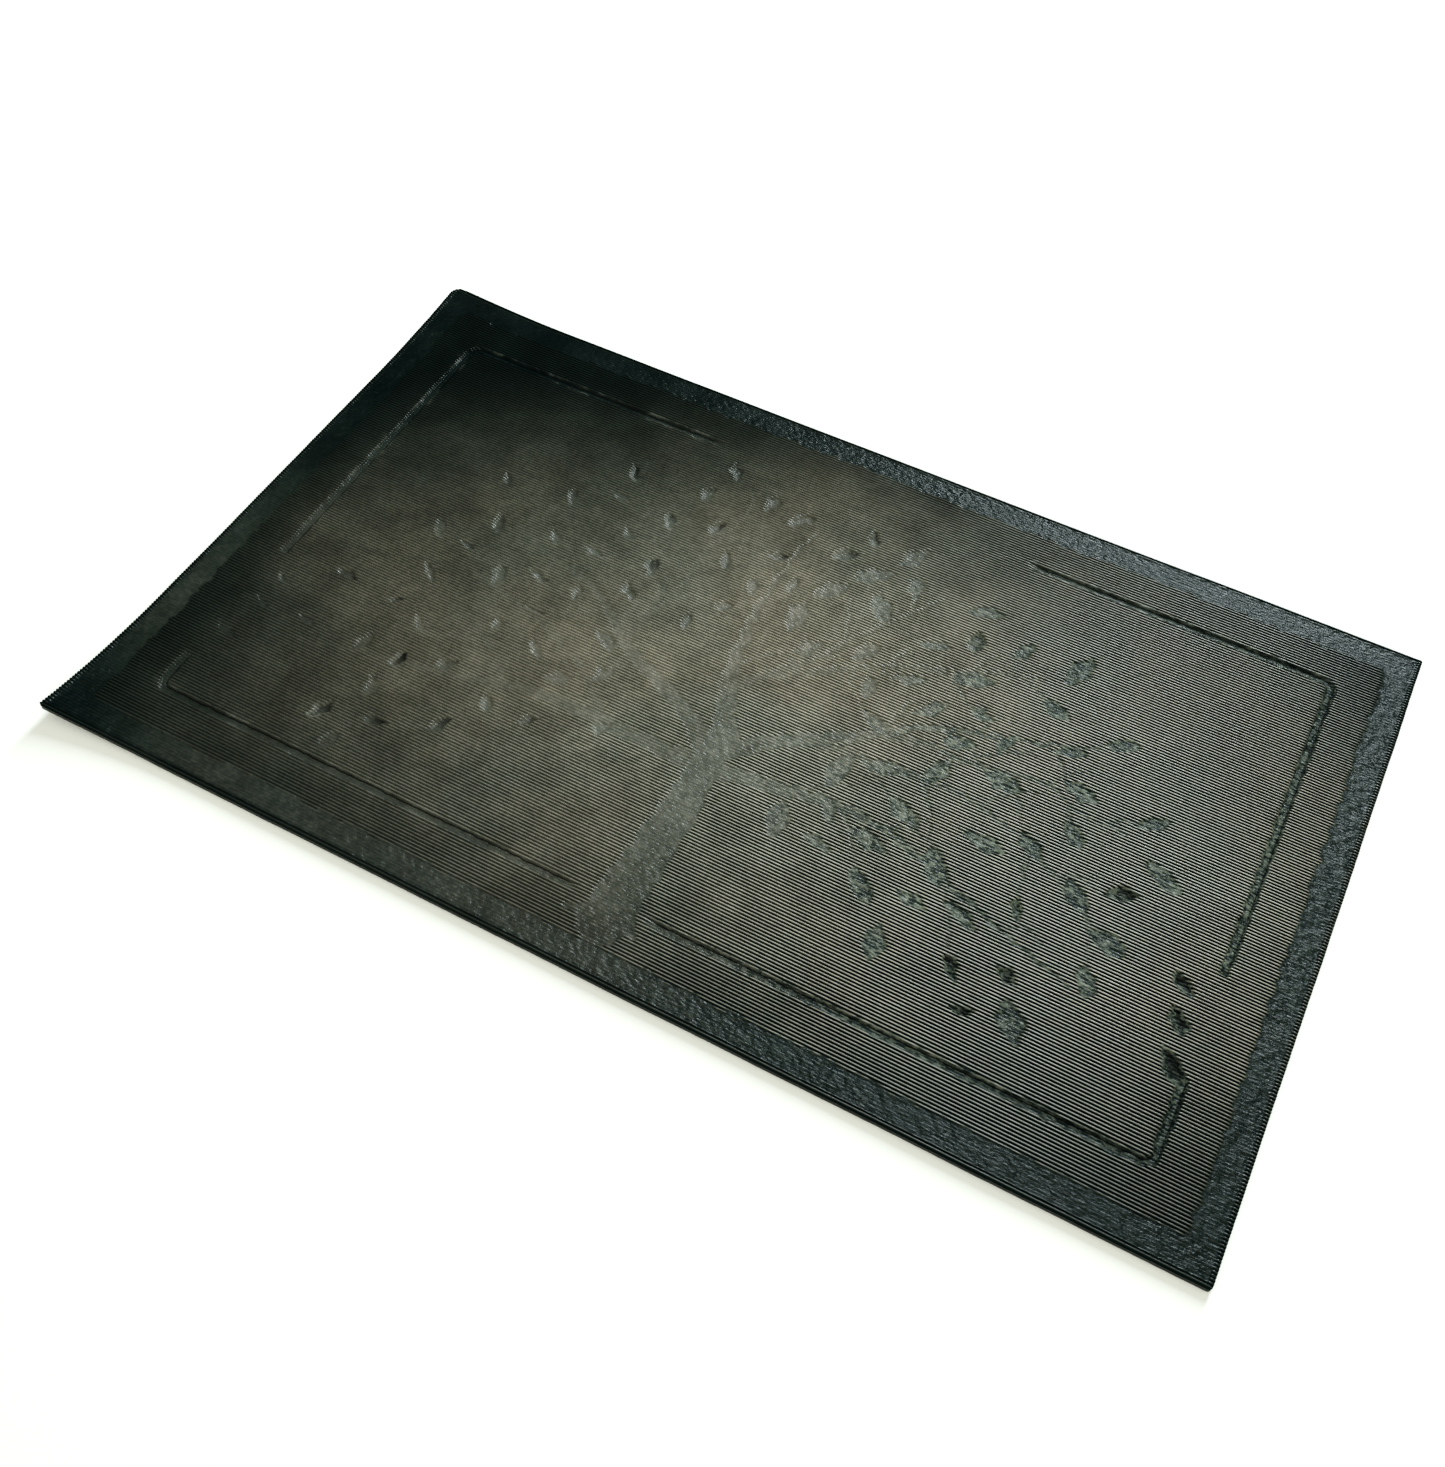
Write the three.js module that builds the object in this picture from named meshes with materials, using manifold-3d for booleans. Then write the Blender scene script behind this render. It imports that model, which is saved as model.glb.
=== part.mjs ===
// Seedling heat mat: a laminate of two rubber sheets around a thin electric heater.
// Millimetres, +Z up. The origin is at the centre of the underside, +X runs along the
// long side and +Y towards the back edge. The power inlet is in the left (-X) edge.
import * as THREE from 'three';
import { mergeVertices } from 'three/addons/utils/BufferGeometryUtils.js';
import Module from 'manifold-3d';

const wasm = await Module();
wasm.setup();

// ---- Driving dimensions ----

// Outline of the whole mat
const MAT_LENGTH = 508;
const MAT_WIDTH = 310;
const MAT_THICKNESS = 4;
const CORNER_RADIUS = 1.5;

// Ribs on the top, along the length
const RIB_PITCH = 1.454;
const RIB_DEPTH = 0.75;
const VALLEY_WIDTH = 0.8;

// Border band where the ribs are pressed flat, between a narrow lip and the ribbed field
const LIP_WIDTH = 2.5;
const BAND_INNER_INSET = 13.5;
const BAND_DEPTH = 0.45;
const BAND_CORNER_RADIUS = 4;

// Sunk frame line, and the four gaps in it: [centre, length] along each side
const FRAME_INSET = 32.3;
const FRAME_LINE_WIDTH = 3.5;
const FRAME_LINE_DEPTH = 0.8;
const FRAME_CORNER_RADIUS = 6;
const GAP_LEFT = [-70, 65];
const GAP_RIGHT = [-62, 46];
const GAP_BACK = [0, 155];
const GAP_FRONT = [0, 27];

// Heights in the stack, above the underside
const SEAM_HEIGHT = 2;
const POCKET_FLOOR = 0.8;
const POCKET_ROOF = 2.5;
const ADHESIVE_THICKNESS = 0.06;
const ADHESIVE_SETBACK = 1;
const PAD_THICKNESS = 0.32;
const FILM_THICKNESS = 0.06;
const STACK_GAP = 0.025;

// Pocket for the heater
const POCKET_INSET = 37;
const POCKET_RADIUS = 6;
const LAYER_CLEARANCE = 2;

// Tapes across the passes: place of each along X
const TAPE_WIDTH = 14;
const TAPE_LENGTH = 230;
const TAPE_PLACES = { tape_left: -150, tape_centre: 5, tape_right: 160 };

// Heating cable: passes along the length, joined by half-turns
const CABLE_HEIGHT = 1.7;
const CABLE_DIAMETER = 0.9;
const CORE_DIAMETER = 0.4;
const CORE_CLEARANCE = 0.07;
const PASS_COUNT = 12;
const FIRST_PASS_Y = -112;
const PASS_LEFT_X = -186;
const PASS_RIGHT_X = 196;
const TURN_STEPS = 4;

// Connection bay at the left front, where everything lies on one line
const BAY_X = -207;
const BAY_BACK_Y = -38;
const BAY_FRONT_Y = -109;
const BAY_INNER_X = -201.5;
const ENTRY_TURN_RADIUS = 5;
const RETURN_TURN_RADIUS = 10;
const LEAD_TURN_RADIUS = 3;

// Joints and thermal cut-off: sizes, and places along Y of the pieces on the bay's line
const CRIMP_LENGTH = 6;
const CRIMP_DIAMETER = 1.1;
const CRIMP_BORE = 0.62;
const CORE_GRIP = 1.1;
const LEAD_GRIP = 2;
const SLEEVE_DIAMETER = 1.5;
const SLEEVE_BORE = 1.26;
const SLEEVE_LENGTH = 9.2;
const CUTOFF_LENGTH = 8;
const CUTOFF_DIAMETER = 1.15;
const CUTOFF_LEG = 4;
const CRIMP_NEUTRAL_Y = -48;
const CRIMP_LIVE_Y = -81.6;
const CUTOFF_Y = -91;
const CRIMP_CUTOFF_Y = -100.4;

// Leads from the inlet and the grommet they pass through
const LEAD_DIAMETER = 1.1;
const BARE_DIAMETER = 0.45;
const TIP_LENGTH = 1.5;
const GROMMET_LENGTH = 6;
const GROMMET_WIDTH = 14;

// Inlet in the left edge
const INLET_Y = -70;
const INLET_DEPTH = 20;
const INLET_WIDTH = 20;
const INLET_LOW = 0.65;
const INLET_HIGH = 2.75;
const INLET_SETBACK = 0.4;
const SOCKET_DEPTH = 12;
const SOCKET_WIDTH = 16;
const SOCKET_HEIGHT = 1.3;
const PIN_SPACING = 8;
const PIN_WIDTH = 2;
const PIN_THICKNESS = 0.4;
const PIN_SETBACK = 2;
const PIN_TAIL = 3;
const CHANNEL_WIDTH = 16;
const FIT_GAP = 0.1;

// How far a cutter reaches past the face it cuts, and how finely round shapes are faceted
const OVERSHOOT = 1;
const CORNER_SEGMENTS = 3;
const CORE_SIDES = 6;
const CABLE_SIDES = 8;
const TUBE_SIDES = 12;

// ---- Materials ----

function material(color, roughness, metalness) {
  return new THREE.MeshStandardMaterial({ color, roughness, metalness });
}

const topRubber = material(0x2b2d2b, 0.55, 0);
const bottomRubber = material(0x1d1f1e, 0.8, 0);
const adhesive = material(0x8a7f66, 0.6, 0);
const foam = material(0xd9d6cc, 0.95, 0);
const polyester = material(0xc8ccc4, 0.3, 0);
const foil = material(0xc9cbce, 0.3, 1);
const tapeCloth = material(0xb89a4e, 0.8, 0);
const resistanceAlloy = material(0x8d8a85, 0.35, 1);
const silicone = material(0x9c2f24, 0.6, 0);
const shrinkTube = material(0x15161a, 0.5, 0);
const crimpBrass = material(0xb59a5a, 0.35, 1);
const livePvc = material(0x6b3a1e, 0.5, 0);
const neutralPvc = material(0x2a4f8f, 0.5, 0);
const fuseCase = material(0xdedfe0, 0.35, 1);
const inletPlastic = material(0x121314, 0.5, 0);
const grommetRubber = material(0x303230, 0.85, 0);

// ---- Helpers ----

const mat = new THREE.Group();

function addPart(name, geometry, partMaterial) {
  const mesh = new THREE.Mesh(geometry, partMaterial);
  mesh.name = name;
  mat.add(mesh);
}

function toSolid(geometry) {
  const bare = geometry.clone();
  bare.deleteAttribute('normal');
  bare.deleteAttribute('uv');
  const merged = mergeVertices(bare);
  return new wasm.Manifold(new wasm.Mesh({
    numProp: 3,
    vertProperties: new Float32Array(merged.attributes.position.array),
    triVerts: new Uint32Array(merged.index.array),
  }));
}

function toGeometry(solid) {
  const mesh = solid.getMesh();
  const geometry = new THREE.BufferGeometry();
  geometry.setAttribute('position', new THREE.BufferAttribute(mesh.vertProperties, 3));
  geometry.setIndex(new THREE.BufferAttribute(mesh.triVerts, 1));
  geometry.computeVertexNormals();
  return geometry;
}

function cut(body, ...tools) {
  const solid = tools.reduce((left, tool) => left.subtract(toSolid(tool)), toSolid(body));
  return toGeometry(solid);
}

function join(body, ...others) {
  const solid = others.reduce((left, other) => left.add(toSolid(other)), toSolid(body));
  return toGeometry(solid);
}

function roundedRectangle(length, width, radius) {
  const x = length / 2;
  const y = width / 2;
  const shape = new THREE.Shape();
  shape.absarc(x - radius, y - radius, radius, 0, Math.PI / 2);
  shape.absarc(radius - x, y - radius, radius, Math.PI / 2, Math.PI);
  shape.absarc(radius - x, radius - y, radius, Math.PI, 1.5 * Math.PI);
  shape.absarc(x - radius, radius - y, radius, 1.5 * Math.PI, 2 * Math.PI);
  return shape;
}

// A flat plate of the given outline between two heights
function plate(shape, low, high) {
  const settings = { depth: high - low, bevelEnabled: false, curveSegments: CORNER_SEGMENTS };
  return new THREE.ExtrudeGeometry(shape, settings).translate(0, 0, low);
}

// A plate whose outline follows the mat's, set in from its edge
function insetPlate(inset, radius, low, high) {
  return plate(roundedRectangle(MAT_LENGTH - 2 * inset, MAT_WIDTH - 2 * inset, radius), low, high);
}

function insetRing(outerInset, outerRadius, innerInset, innerRadius, low, high) {
  const outer = insetPlate(outerInset, outerRadius, low, high);
  return cut(outer, insetPlate(innerInset, innerRadius, low - OVERSHOOT, high + OVERSHOOT));
}

function block(xLow, xHigh, yLow, yHigh, zLow, zHigh) {
  const box = new THREE.BoxGeometry(xHigh - xLow, yHigh - yLow, zHigh - zLow);
  return box.translate((xLow + xHigh) / 2, (yLow + yHigh) / 2, (zLow + zHigh) / 2);
}

// A route through given points, one sweep section at each point
class Route extends THREE.Curve {
  constructor(points) {
    super();
    this.points = points;
  }

  getUtoTmapping(u) {
    return u;
  }

  getPoint(t, target = new THREE.Vector3()) {
    const place = THREE.MathUtils.clamp(t, 0, 1) * (this.points.length - 1);
    const index = Math.min(Math.floor(place), this.points.length - 2);
    return target.lerpVectors(this.points[index], this.points[index + 1], place - index);
  }
}

// Points of an arc in the cable's plane, from one angle to another, ends included
function arcPoints(centreX, centreY, radius, startAngle, endAngle) {
  return Array.from({ length: TURN_STEPS + 1 }, (_, step) => {
    const angle = THREE.MathUtils.lerp(startAngle, endAngle, step / TURN_STEPS);
    const x = centreX + radius * Math.cos(angle);
    const y = centreY + radius * Math.sin(angle);
    return new THREE.Vector3(x, y, CABLE_HEIGHT);
  });
}

function cablePoint(x, y) {
  return new THREE.Vector3(x, y, CABLE_HEIGHT);
}

// A round section, with a round bore where the diameter of one is given
function disc(diameter, bore) {
  const shape = new THREE.Shape();
  shape.absarc(0, 0, diameter / 2, 0, 2 * Math.PI);
  if (bore > 0) {
    const hole = new THREE.Path();
    hole.absarc(0, 0, bore / 2, 0, 2 * Math.PI);
    shape.holes.push(hole);
  }
  return shape;
}

// A round cable or tube swept along a list of points. An arc of n curve segments has 2n sides.
function sweep(points, diameter, bore = 0, sides = CABLE_SIDES) {
  return new THREE.ExtrudeGeometry(disc(diameter, bore), {
    steps: points.length - 1,
    curveSegments: sides / 2,
    bevelEnabled: false,
    extrudePath: new Route(points),
  });
}

// A straight tube along Y in the connection bay
function bayTube(yStart, yEnd, diameter, bore = 0) {
  return sweep([cablePoint(BAY_X, yStart), cablePoint(BAY_X, yEnd)], diameter, bore, TUBE_SIDES);
}

// ---- Rubber sheets ----

const inletLeft = INLET_SETBACK - MAT_LENGTH / 2;
const inletRight = inletLeft + INLET_DEPTH;
const inletFront = INLET_Y - INLET_WIDTH / 2;
const inletBack = INLET_Y + INLET_WIDTH / 2;
const pocketLeft = POCKET_INSET - MAT_LENGTH / 2;
const seamLow = SEAM_HEIGHT - ADHESIVE_THICKNESS / 2;
const seamHigh = SEAM_HEIGHT + ADHESIVE_THICKNESS / 2;

// Room for the inlet, open at the mat's left edge, and for the leads behind it
function inletRecess() {
  const left = -MAT_LENGTH / 2 - OVERSHOOT;
  const low = INLET_LOW - STACK_GAP;
  const high = INLET_HIGH + STACK_GAP;
  return block(left, inletRight + FIT_GAP, inletFront - FIT_GAP, inletBack + FIT_GAP, low, high);
}

function leadChannel() {
  const front = INLET_Y - CHANNEL_WIDTH / 2;
  const back = INLET_Y + CHANNEL_WIDTH / 2;
  const left = inletRight - OVERSHOOT;
  const right = pocketLeft + OVERSHOOT;
  return block(left, right, front, back, INLET_LOW - STACK_GAP, POCKET_ROOF);
}

// One comb-shaped cutter that leaves the ribs standing
function ribComb() {
  const fieldLength = MAT_LENGTH - 2 * BAND_INNER_INSET;
  const fieldWidth = MAT_WIDTH - 2 * BAND_INNER_INSET;
  const valleyCount = Math.floor(fieldWidth / RIB_PITCH);
  const rootWidth = VALLEY_WIDTH * (1 + STACK_GAP / RIB_DEPTH);
  const shape = new THREE.Shape();
  const firstValley = -((valleyCount - 1) / 2) * RIB_PITCH;
  shape.moveTo(firstValley - RIB_PITCH, OVERSHOOT);
  shape.lineTo(firstValley - RIB_PITCH, STACK_GAP);
  for (let index = 0; index < valleyCount; index += 1) {
    const centre = firstValley + index * RIB_PITCH;
    shape.lineTo(centre - rootWidth / 2, STACK_GAP);
    shape.lineTo(centre, -RIB_DEPTH);
    shape.lineTo(centre + rootWidth / 2, STACK_GAP);
  }
  shape.lineTo(-firstValley + RIB_PITCH, STACK_GAP);
  shape.lineTo(-firstValley + RIB_PITCH, OVERSHOOT);
  const comb = new THREE.ExtrudeGeometry(shape, { depth: fieldLength, bevelEnabled: false });
  comb.rotateX(Math.PI / 2).rotateZ(Math.PI / 2);
  return comb.translate(-fieldLength / 2, 0, MAT_THICKNESS);
}

// The frame line, with its four gaps left out
function frameLineCutter() {
  const half = FRAME_LINE_WIDTH / 2;
  const low = MAT_THICKNESS - FRAME_LINE_DEPTH;
  const high = MAT_THICKNESS + OVERSHOOT;
  const outerInset = FRAME_INSET - half;
  const innerInset = FRAME_INSET + half;
  const outerRadius = FRAME_CORNER_RADIUS + half;
  const innerRadius = FRAME_CORNER_RADIUS - half;
  const ring = insetRing(outerInset, outerRadius, innerInset, innerRadius, low, high);
  const sideX = MAT_LENGTH / 2 - FRAME_INSET;
  const sideY = MAT_WIDTH / 2 - FRAME_INSET;
  const reach = FRAME_LINE_WIDTH;
  const across = (x, [centre, length]) => block(
    x - reach, x + reach, centre - length / 2, centre + length / 2, low - OVERSHOOT, high + OVERSHOOT);
  const along = (y, [centre, length]) => block(
    centre - length / 2, centre + length / 2, y - reach, y + reach, low - OVERSHOOT, high + OVERSHOOT);
  return cut(ring, across(-sideX, GAP_LEFT), across(sideX, GAP_RIGHT),
    along(sideY, GAP_BACK), along(-sideY, GAP_FRONT));
}

function pocketCutter(low, high) {
  return insetPlate(POCKET_INSET, POCKET_RADIUS, low, high);
}

function topSheet() {
  const sheet = insetPlate(0, CORNER_RADIUS, seamHigh + STACK_GAP, MAT_THICKNESS);
  const bandFloor = MAT_THICKNESS - BAND_DEPTH;
  const band = insetRing(LIP_WIDTH, CORNER_RADIUS, BAND_INNER_INSET, BAND_CORNER_RADIUS,
    bandFloor, MAT_THICKNESS + OVERSHOOT);
  const pocket = pocketCutter(0, POCKET_ROOF);
  return cut(sheet, pocket, inletRecess(), leadChannel(), ribComb(), band, frameLineCutter());
}

function bottomSheet() {
  const sheet = insetPlate(0, CORNER_RADIUS, 0, seamLow - STACK_GAP);
  return cut(sheet, pocketCutter(POCKET_FLOOR, SEAM_HEIGHT + OVERSHOOT), inletRecess(), leadChannel());
}

function seamAdhesive() {
  const innerInset = POCKET_INSET - ADHESIVE_SETBACK;
  const ring = insetRing(ADHESIVE_SETBACK, CORNER_RADIUS, innerInset, POCKET_RADIUS, seamLow, seamHigh);
  return cut(ring, inletRecess(), leadChannel());
}

addPart('top_sheet', topSheet(), topRubber);
addPart('bottom_sheet', bottomSheet(), bottomRubber);
addPart('seam_adhesive', seamAdhesive(), adhesive);

// ---- Flat layers in the pocket ----

// A layer of the stack, notched where the connection bay needs the full height
function layer(low, thickness) {
  const sheet = insetPlate(POCKET_INSET + LAYER_CLEARANCE, POCKET_RADIUS, low, low + thickness);
  const left = pocketLeft - OVERSHOOT;
  return cut(sheet, block(left, BAY_INNER_X, BAY_FRONT_Y, BAY_BACK_Y, 0, MAT_THICKNESS));
}

const padLow = POCKET_FLOOR + STACK_GAP;
const carrierLow = padLow + PAD_THICKNESS + STACK_GAP;
const tapeLow = CABLE_HEIGHT + CABLE_DIAMETER / 2 + STACK_GAP;
const foilLow = tapeLow + FILM_THICKNESS + STACK_GAP;
const upperFilmLow = foilLow + FILM_THICKNESS + STACK_GAP;

addPart('insulation_pad', layer(padLow, PAD_THICKNESS), foam);
addPart('carrier_film', layer(carrierLow, FILM_THICKNESS), polyester);
addPart('spreader_foil', layer(foilLow, FILM_THICKNESS), foil);
addPart('upper_film', layer(upperFilmLow, FILM_THICKNESS), polyester);

for (const [name, x] of Object.entries(TAPE_PLACES)) {
  const high = tapeLow + FILM_THICKNESS;
  const tape = block(x - TAPE_WIDTH / 2, x + TAPE_WIDTH / 2, -TAPE_LENGTH / 2, TAPE_LENGTH / 2,
    tapeLow, high);
  addPart(name, tape, tapeCloth);
}

// ---- Heating cable ----

// The wire's route: in from the bay, along every pass, and back down the left side
function heatingRoute(startY, endY) {
  const pitch = (-2 * FIRST_PASS_Y) / (PASS_COUNT - 1);
  const radius = pitch / 2;
  const points = [cablePoint(BAY_X, startY)];
  const entryX = BAY_X + ENTRY_TURN_RADIUS;
  const entryY = FIRST_PASS_Y + ENTRY_TURN_RADIUS;
  points.push(...arcPoints(entryX, entryY, ENTRY_TURN_RADIUS, Math.PI, 1.5 * Math.PI));
  for (let pass = 0; pass < PASS_COUNT - 1; pass += 1) {
    const centreY = FIRST_PASS_Y + pass * pitch + radius;
    const goesRight = pass % 2 === 0;
    const centreX = goesRight ? PASS_RIGHT_X : PASS_LEFT_X;
    const turn = goesRight ? Math.PI : -Math.PI;
    points.push(...arcPoints(centreX, centreY, radius, -Math.PI / 2, -Math.PI / 2 + turn));
  }
  const backX = BAY_X + RETURN_TURN_RADIUS;
  const backY = -FIRST_PASS_Y - RETURN_TURN_RADIUS;
  points.push(...arcPoints(backX, backY, RETURN_TURN_RADIUS, Math.PI / 2, Math.PI));
  points.push(cablePoint(BAY_X, endY));
  return points;
}

// The core ends inside the crimps and its jacket stops short of them
const coreTip = CRIMP_LENGTH / 2 - CORE_GRIP;
const jacketTip = CRIMP_LENGTH / 2 + FIT_GAP;
const jacketBore = CORE_DIAMETER + 2 * CORE_CLEARANCE;
const coreRoute = heatingRoute(CRIMP_CUTOFF_Y - coreTip, CRIMP_NEUTRAL_Y + coreTip);
const jacketRoute = heatingRoute(CRIMP_CUTOFF_Y - jacketTip, CRIMP_NEUTRAL_Y + jacketTip);

addPart('heating_core', sweep(coreRoute, CORE_DIAMETER, 0, CORE_SIDES), resistanceAlloy);
addPart('heating_jacket', sweep(jacketRoute, CABLE_DIAMETER, jacketBore), silicone);

// ---- Joints and thermal cut-off in the bay ----

function crimp(centreY) {
  return bayTube(centreY - CRIMP_LENGTH / 2, centreY + CRIMP_LENGTH / 2, CRIMP_DIAMETER, CRIMP_BORE);
}

function sleeve(centreY) {
  return bayTube(centreY - SLEEVE_LENGTH / 2, centreY + SLEEVE_LENGTH / 2, SLEEVE_DIAMETER, SLEEVE_BORE);
}

function thermalCutoff() {
  const half = CUTOFF_LENGTH / 2;
  const body = bayTube(CUTOFF_Y - half, CUTOFF_Y + half, CUTOFF_DIAMETER);
  const reach = half + CUTOFF_LEG;
  return join(body, bayTube(CUTOFF_Y - reach, CUTOFF_Y + reach, CORE_DIAMETER));
}

addPart('crimp_live', crimp(CRIMP_LIVE_Y), crimpBrass);
addPart('crimp_cutoff', crimp(CRIMP_CUTOFF_Y), crimpBrass);
addPart('crimp_neutral', crimp(CRIMP_NEUTRAL_Y), crimpBrass);
addPart('shrink_live', sleeve(CRIMP_LIVE_Y), shrinkTube);
addPart('shrink_cutoff', sleeve(CRIMP_CUTOFF_Y), shrinkTube);
addPart('shrink_neutral', sleeve(CRIMP_NEUTRAL_Y), shrinkTube);
addPart('thermal_cutoff', thermalCutoff(), fuseCase);
addPart('cutoff_sleeve', sleeve(CUTOFF_Y), shrinkTube);

// ---- Leads, grommet and inlet ----

const pinTailX = inletRight + PIN_TAIL;
const leadStartX = pinTailX + FIT_GAP;

// An insulated lead with a bare tip at each end. `side` is +1 for the back lead and -1 for
// the front one, which turn away from each other when they reach the bay.
function lead(side, crimpY) {
  const y = INLET_Y + (side * PIN_SPACING) / 2;
  const centreX = BAY_X - LEAD_TURN_RADIUS;
  const centreY = y + side * LEAD_TURN_RADIUS;
  const turn = arcPoints(centreX, centreY, LEAD_TURN_RADIUS, (-side * Math.PI) / 2, 0);
  const crimpEdge = crimpY - (side * CRIMP_LENGTH) / 2;
  const covered = [cablePoint(leadStartX + TIP_LENGTH, y), ...turn,
    cablePoint(BAY_X, crimpEdge - side * FIT_GAP)];
  const bare = [cablePoint(leadStartX, y), ...turn, cablePoint(BAY_X, crimpEdge + side * LEAD_GRIP)];
  return join(sweep(covered, LEAD_DIAMETER), sweep(bare, BARE_DIAMETER));
}

function grommet() {
  const left = (inletRight + pocketLeft) / 2;
  const body = block(left, left + GROMMET_LENGTH, INLET_Y - GROMMET_WIDTH / 2,
    INLET_Y + GROMMET_WIDTH / 2, INLET_LOW, POCKET_ROOF - STACK_GAP);
  const hole = (side) => {
    const y = INLET_Y + (side * PIN_SPACING) / 2;
    const right = left + GROMMET_LENGTH;
    const points = [cablePoint(left - OVERSHOOT, y), cablePoint(right + OVERSHOOT, y)];
    return sweep(points, LEAD_DIAMETER + 2 * FIT_GAP, 0, TUBE_SIDES);
  };
  return cut(body, hole(1), hole(-1));
}

function pin(side) {
  const y = INLET_Y + (side * PIN_SPACING) / 2;
  return block(inletLeft + PIN_SETBACK, pinTailX, y - PIN_WIDTH / 2, y + PIN_WIDTH / 2,
    CABLE_HEIGHT - PIN_THICKNESS / 2, CABLE_HEIGHT + PIN_THICKNESS / 2);
}

function inletHousing() {
  const middle = (INLET_LOW + INLET_HIGH) / 2;
  const body = block(inletLeft, inletRight, inletFront, inletBack, INLET_LOW, INLET_HIGH);
  const socket = block(inletLeft - OVERSHOOT, inletLeft + SOCKET_DEPTH,
    INLET_Y - SOCKET_WIDTH / 2, INLET_Y + SOCKET_WIDTH / 2,
    middle - SOCKET_HEIGHT / 2, middle + SOCKET_HEIGHT / 2);
  const slot = (side) => {
    const y = INLET_Y + (side * PIN_SPACING) / 2;
    const halfWidth = PIN_WIDTH / 2 + FIT_GAP;
    const halfHeight = PIN_THICKNESS / 2 + FIT_GAP;
    const left = inletLeft + SOCKET_DEPTH - OVERSHOOT;
    return block(left, inletRight + OVERSHOOT, y - halfWidth, y + halfWidth,
      CABLE_HEIGHT - halfHeight, CABLE_HEIGHT + halfHeight);
  };
  return cut(body, socket, slot(1), slot(-1));
}

addPart('live_lead', lead(-1, CRIMP_LIVE_Y), livePvc);
addPart('neutral_lead', lead(1, CRIMP_NEUTRAL_Y), neutralPvc);
addPart('lead_grommet', grommet(), grommetRubber);
addPart('inlet_housing', inletHousing(), inletPlastic);
addPart('inlet_pin_live', pin(-1), crimpBrass);
addPart('inlet_pin_neutral', pin(1), crimpBrass);

export default mat;
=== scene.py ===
"""Looks of a seedling heat mat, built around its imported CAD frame.

The two rubber sheets and the film between them are remade as closed shells, with the ribs, the
pressed border, the sunk frame line and a sunk tree as real shape. The heater parts inside and the
inlet stay as the CAD has them and get their materials. Shapes are worked out in millimetres.
"""

import math

import bpy
import numpy as np
from mathutils import Matrix, Vector


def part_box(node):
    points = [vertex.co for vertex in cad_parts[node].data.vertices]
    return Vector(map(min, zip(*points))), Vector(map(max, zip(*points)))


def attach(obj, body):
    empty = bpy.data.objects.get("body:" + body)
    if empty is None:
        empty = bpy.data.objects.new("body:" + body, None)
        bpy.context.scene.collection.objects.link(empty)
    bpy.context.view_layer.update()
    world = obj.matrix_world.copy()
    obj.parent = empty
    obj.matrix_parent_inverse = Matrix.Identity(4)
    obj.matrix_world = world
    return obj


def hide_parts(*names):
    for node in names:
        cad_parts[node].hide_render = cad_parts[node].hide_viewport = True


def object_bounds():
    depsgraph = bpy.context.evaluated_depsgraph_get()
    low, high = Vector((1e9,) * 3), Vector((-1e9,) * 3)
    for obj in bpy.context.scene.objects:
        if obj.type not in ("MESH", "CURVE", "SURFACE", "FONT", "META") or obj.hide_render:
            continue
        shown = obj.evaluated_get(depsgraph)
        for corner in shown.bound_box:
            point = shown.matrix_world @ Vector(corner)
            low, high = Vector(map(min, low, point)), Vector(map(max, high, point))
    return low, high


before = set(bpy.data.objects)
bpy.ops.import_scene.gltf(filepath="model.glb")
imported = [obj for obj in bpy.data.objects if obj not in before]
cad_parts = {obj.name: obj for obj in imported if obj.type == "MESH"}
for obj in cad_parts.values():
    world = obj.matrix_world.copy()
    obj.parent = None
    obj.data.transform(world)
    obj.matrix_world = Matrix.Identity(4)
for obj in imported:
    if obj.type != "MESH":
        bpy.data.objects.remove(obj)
cad_low, cad_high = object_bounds()

# ---- Sizes in millimetres ----

MM = 0.001
HALF_LENGTH = (cad_high.x - cad_low.x) / 2 / MM
HALF_WIDTH = (cad_high.y - cad_low.y) / 2 / MM
TOP = cad_high.z / MM
TOP_SHEET_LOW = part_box("top_sheet")[0].z / MM
BOTTOM_SHEET_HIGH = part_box("bottom_sheet")[1].z / MM
FILM_LOW, FILM_HIGH = (corner.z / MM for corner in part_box("seam_adhesive"))

RIB_PITCH = 1.454
RIB_DEPTH = 0.75
# Where the rows of a rib lie across its pitch, from 0 to 1, and how high the rib is there
RIB_PROFILE = ((0.0, 0.0), (0.20, 0.60), (0.35, 1.0), (0.65, 1.0), (0.80, 0.60))

COLUMN_STEP = 0.8
COARSE_COLUMNS = 18
EDGE_COLUMNS = (0.0, 0.2, 0.5, 0.9, 1.4, 2.0, 2.6)

LIP_WIDTH = 1.9
EDGE_DROP = 0.55
EDGE_ROLL = 1.1
END_HEIGHT = 0.6
END_MARGIN = 0.05
BAND_INNER = 13.5
BAND_CORNER = 4.0
PRESSED_LEVEL = 0.45

FRAME_INSET = 32.3
FRAME_HALF_WIDTH = 1.75
FRAME_DEPTH = 0.8
FRAME_EDGE_COLUMNS = (-2.3, -1.9, -1.6, -1.3, 1.3, 1.6, 1.9, 2.3)
FRAME_CORNER = 5.0
# The frame line's gaps on each side: centre and half length
GAP_LEFT = (-70.0, 32.5)
GAP_RIGHT = (-62.0, 23.0)
GAP_BACK = (0.0, 77.5)
GAP_FRONT = (0.0, 13.5)

# Outline corner radii: front left, front right, back right, back left
CORNER_RADII = (1.2, 1.5, 1.2, 6.5)
UNDER_INSET = 8.0
UNDER_STEP = 12.0


def new_object(name, data):
    """Makes an object and puts it in the scene."""
    made = bpy.data.objects.new(name, data)
    bpy.context.scene.collection.objects.link(made)
    return made


# ---- Noise ----

NOISE_CELLS = 128


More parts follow.
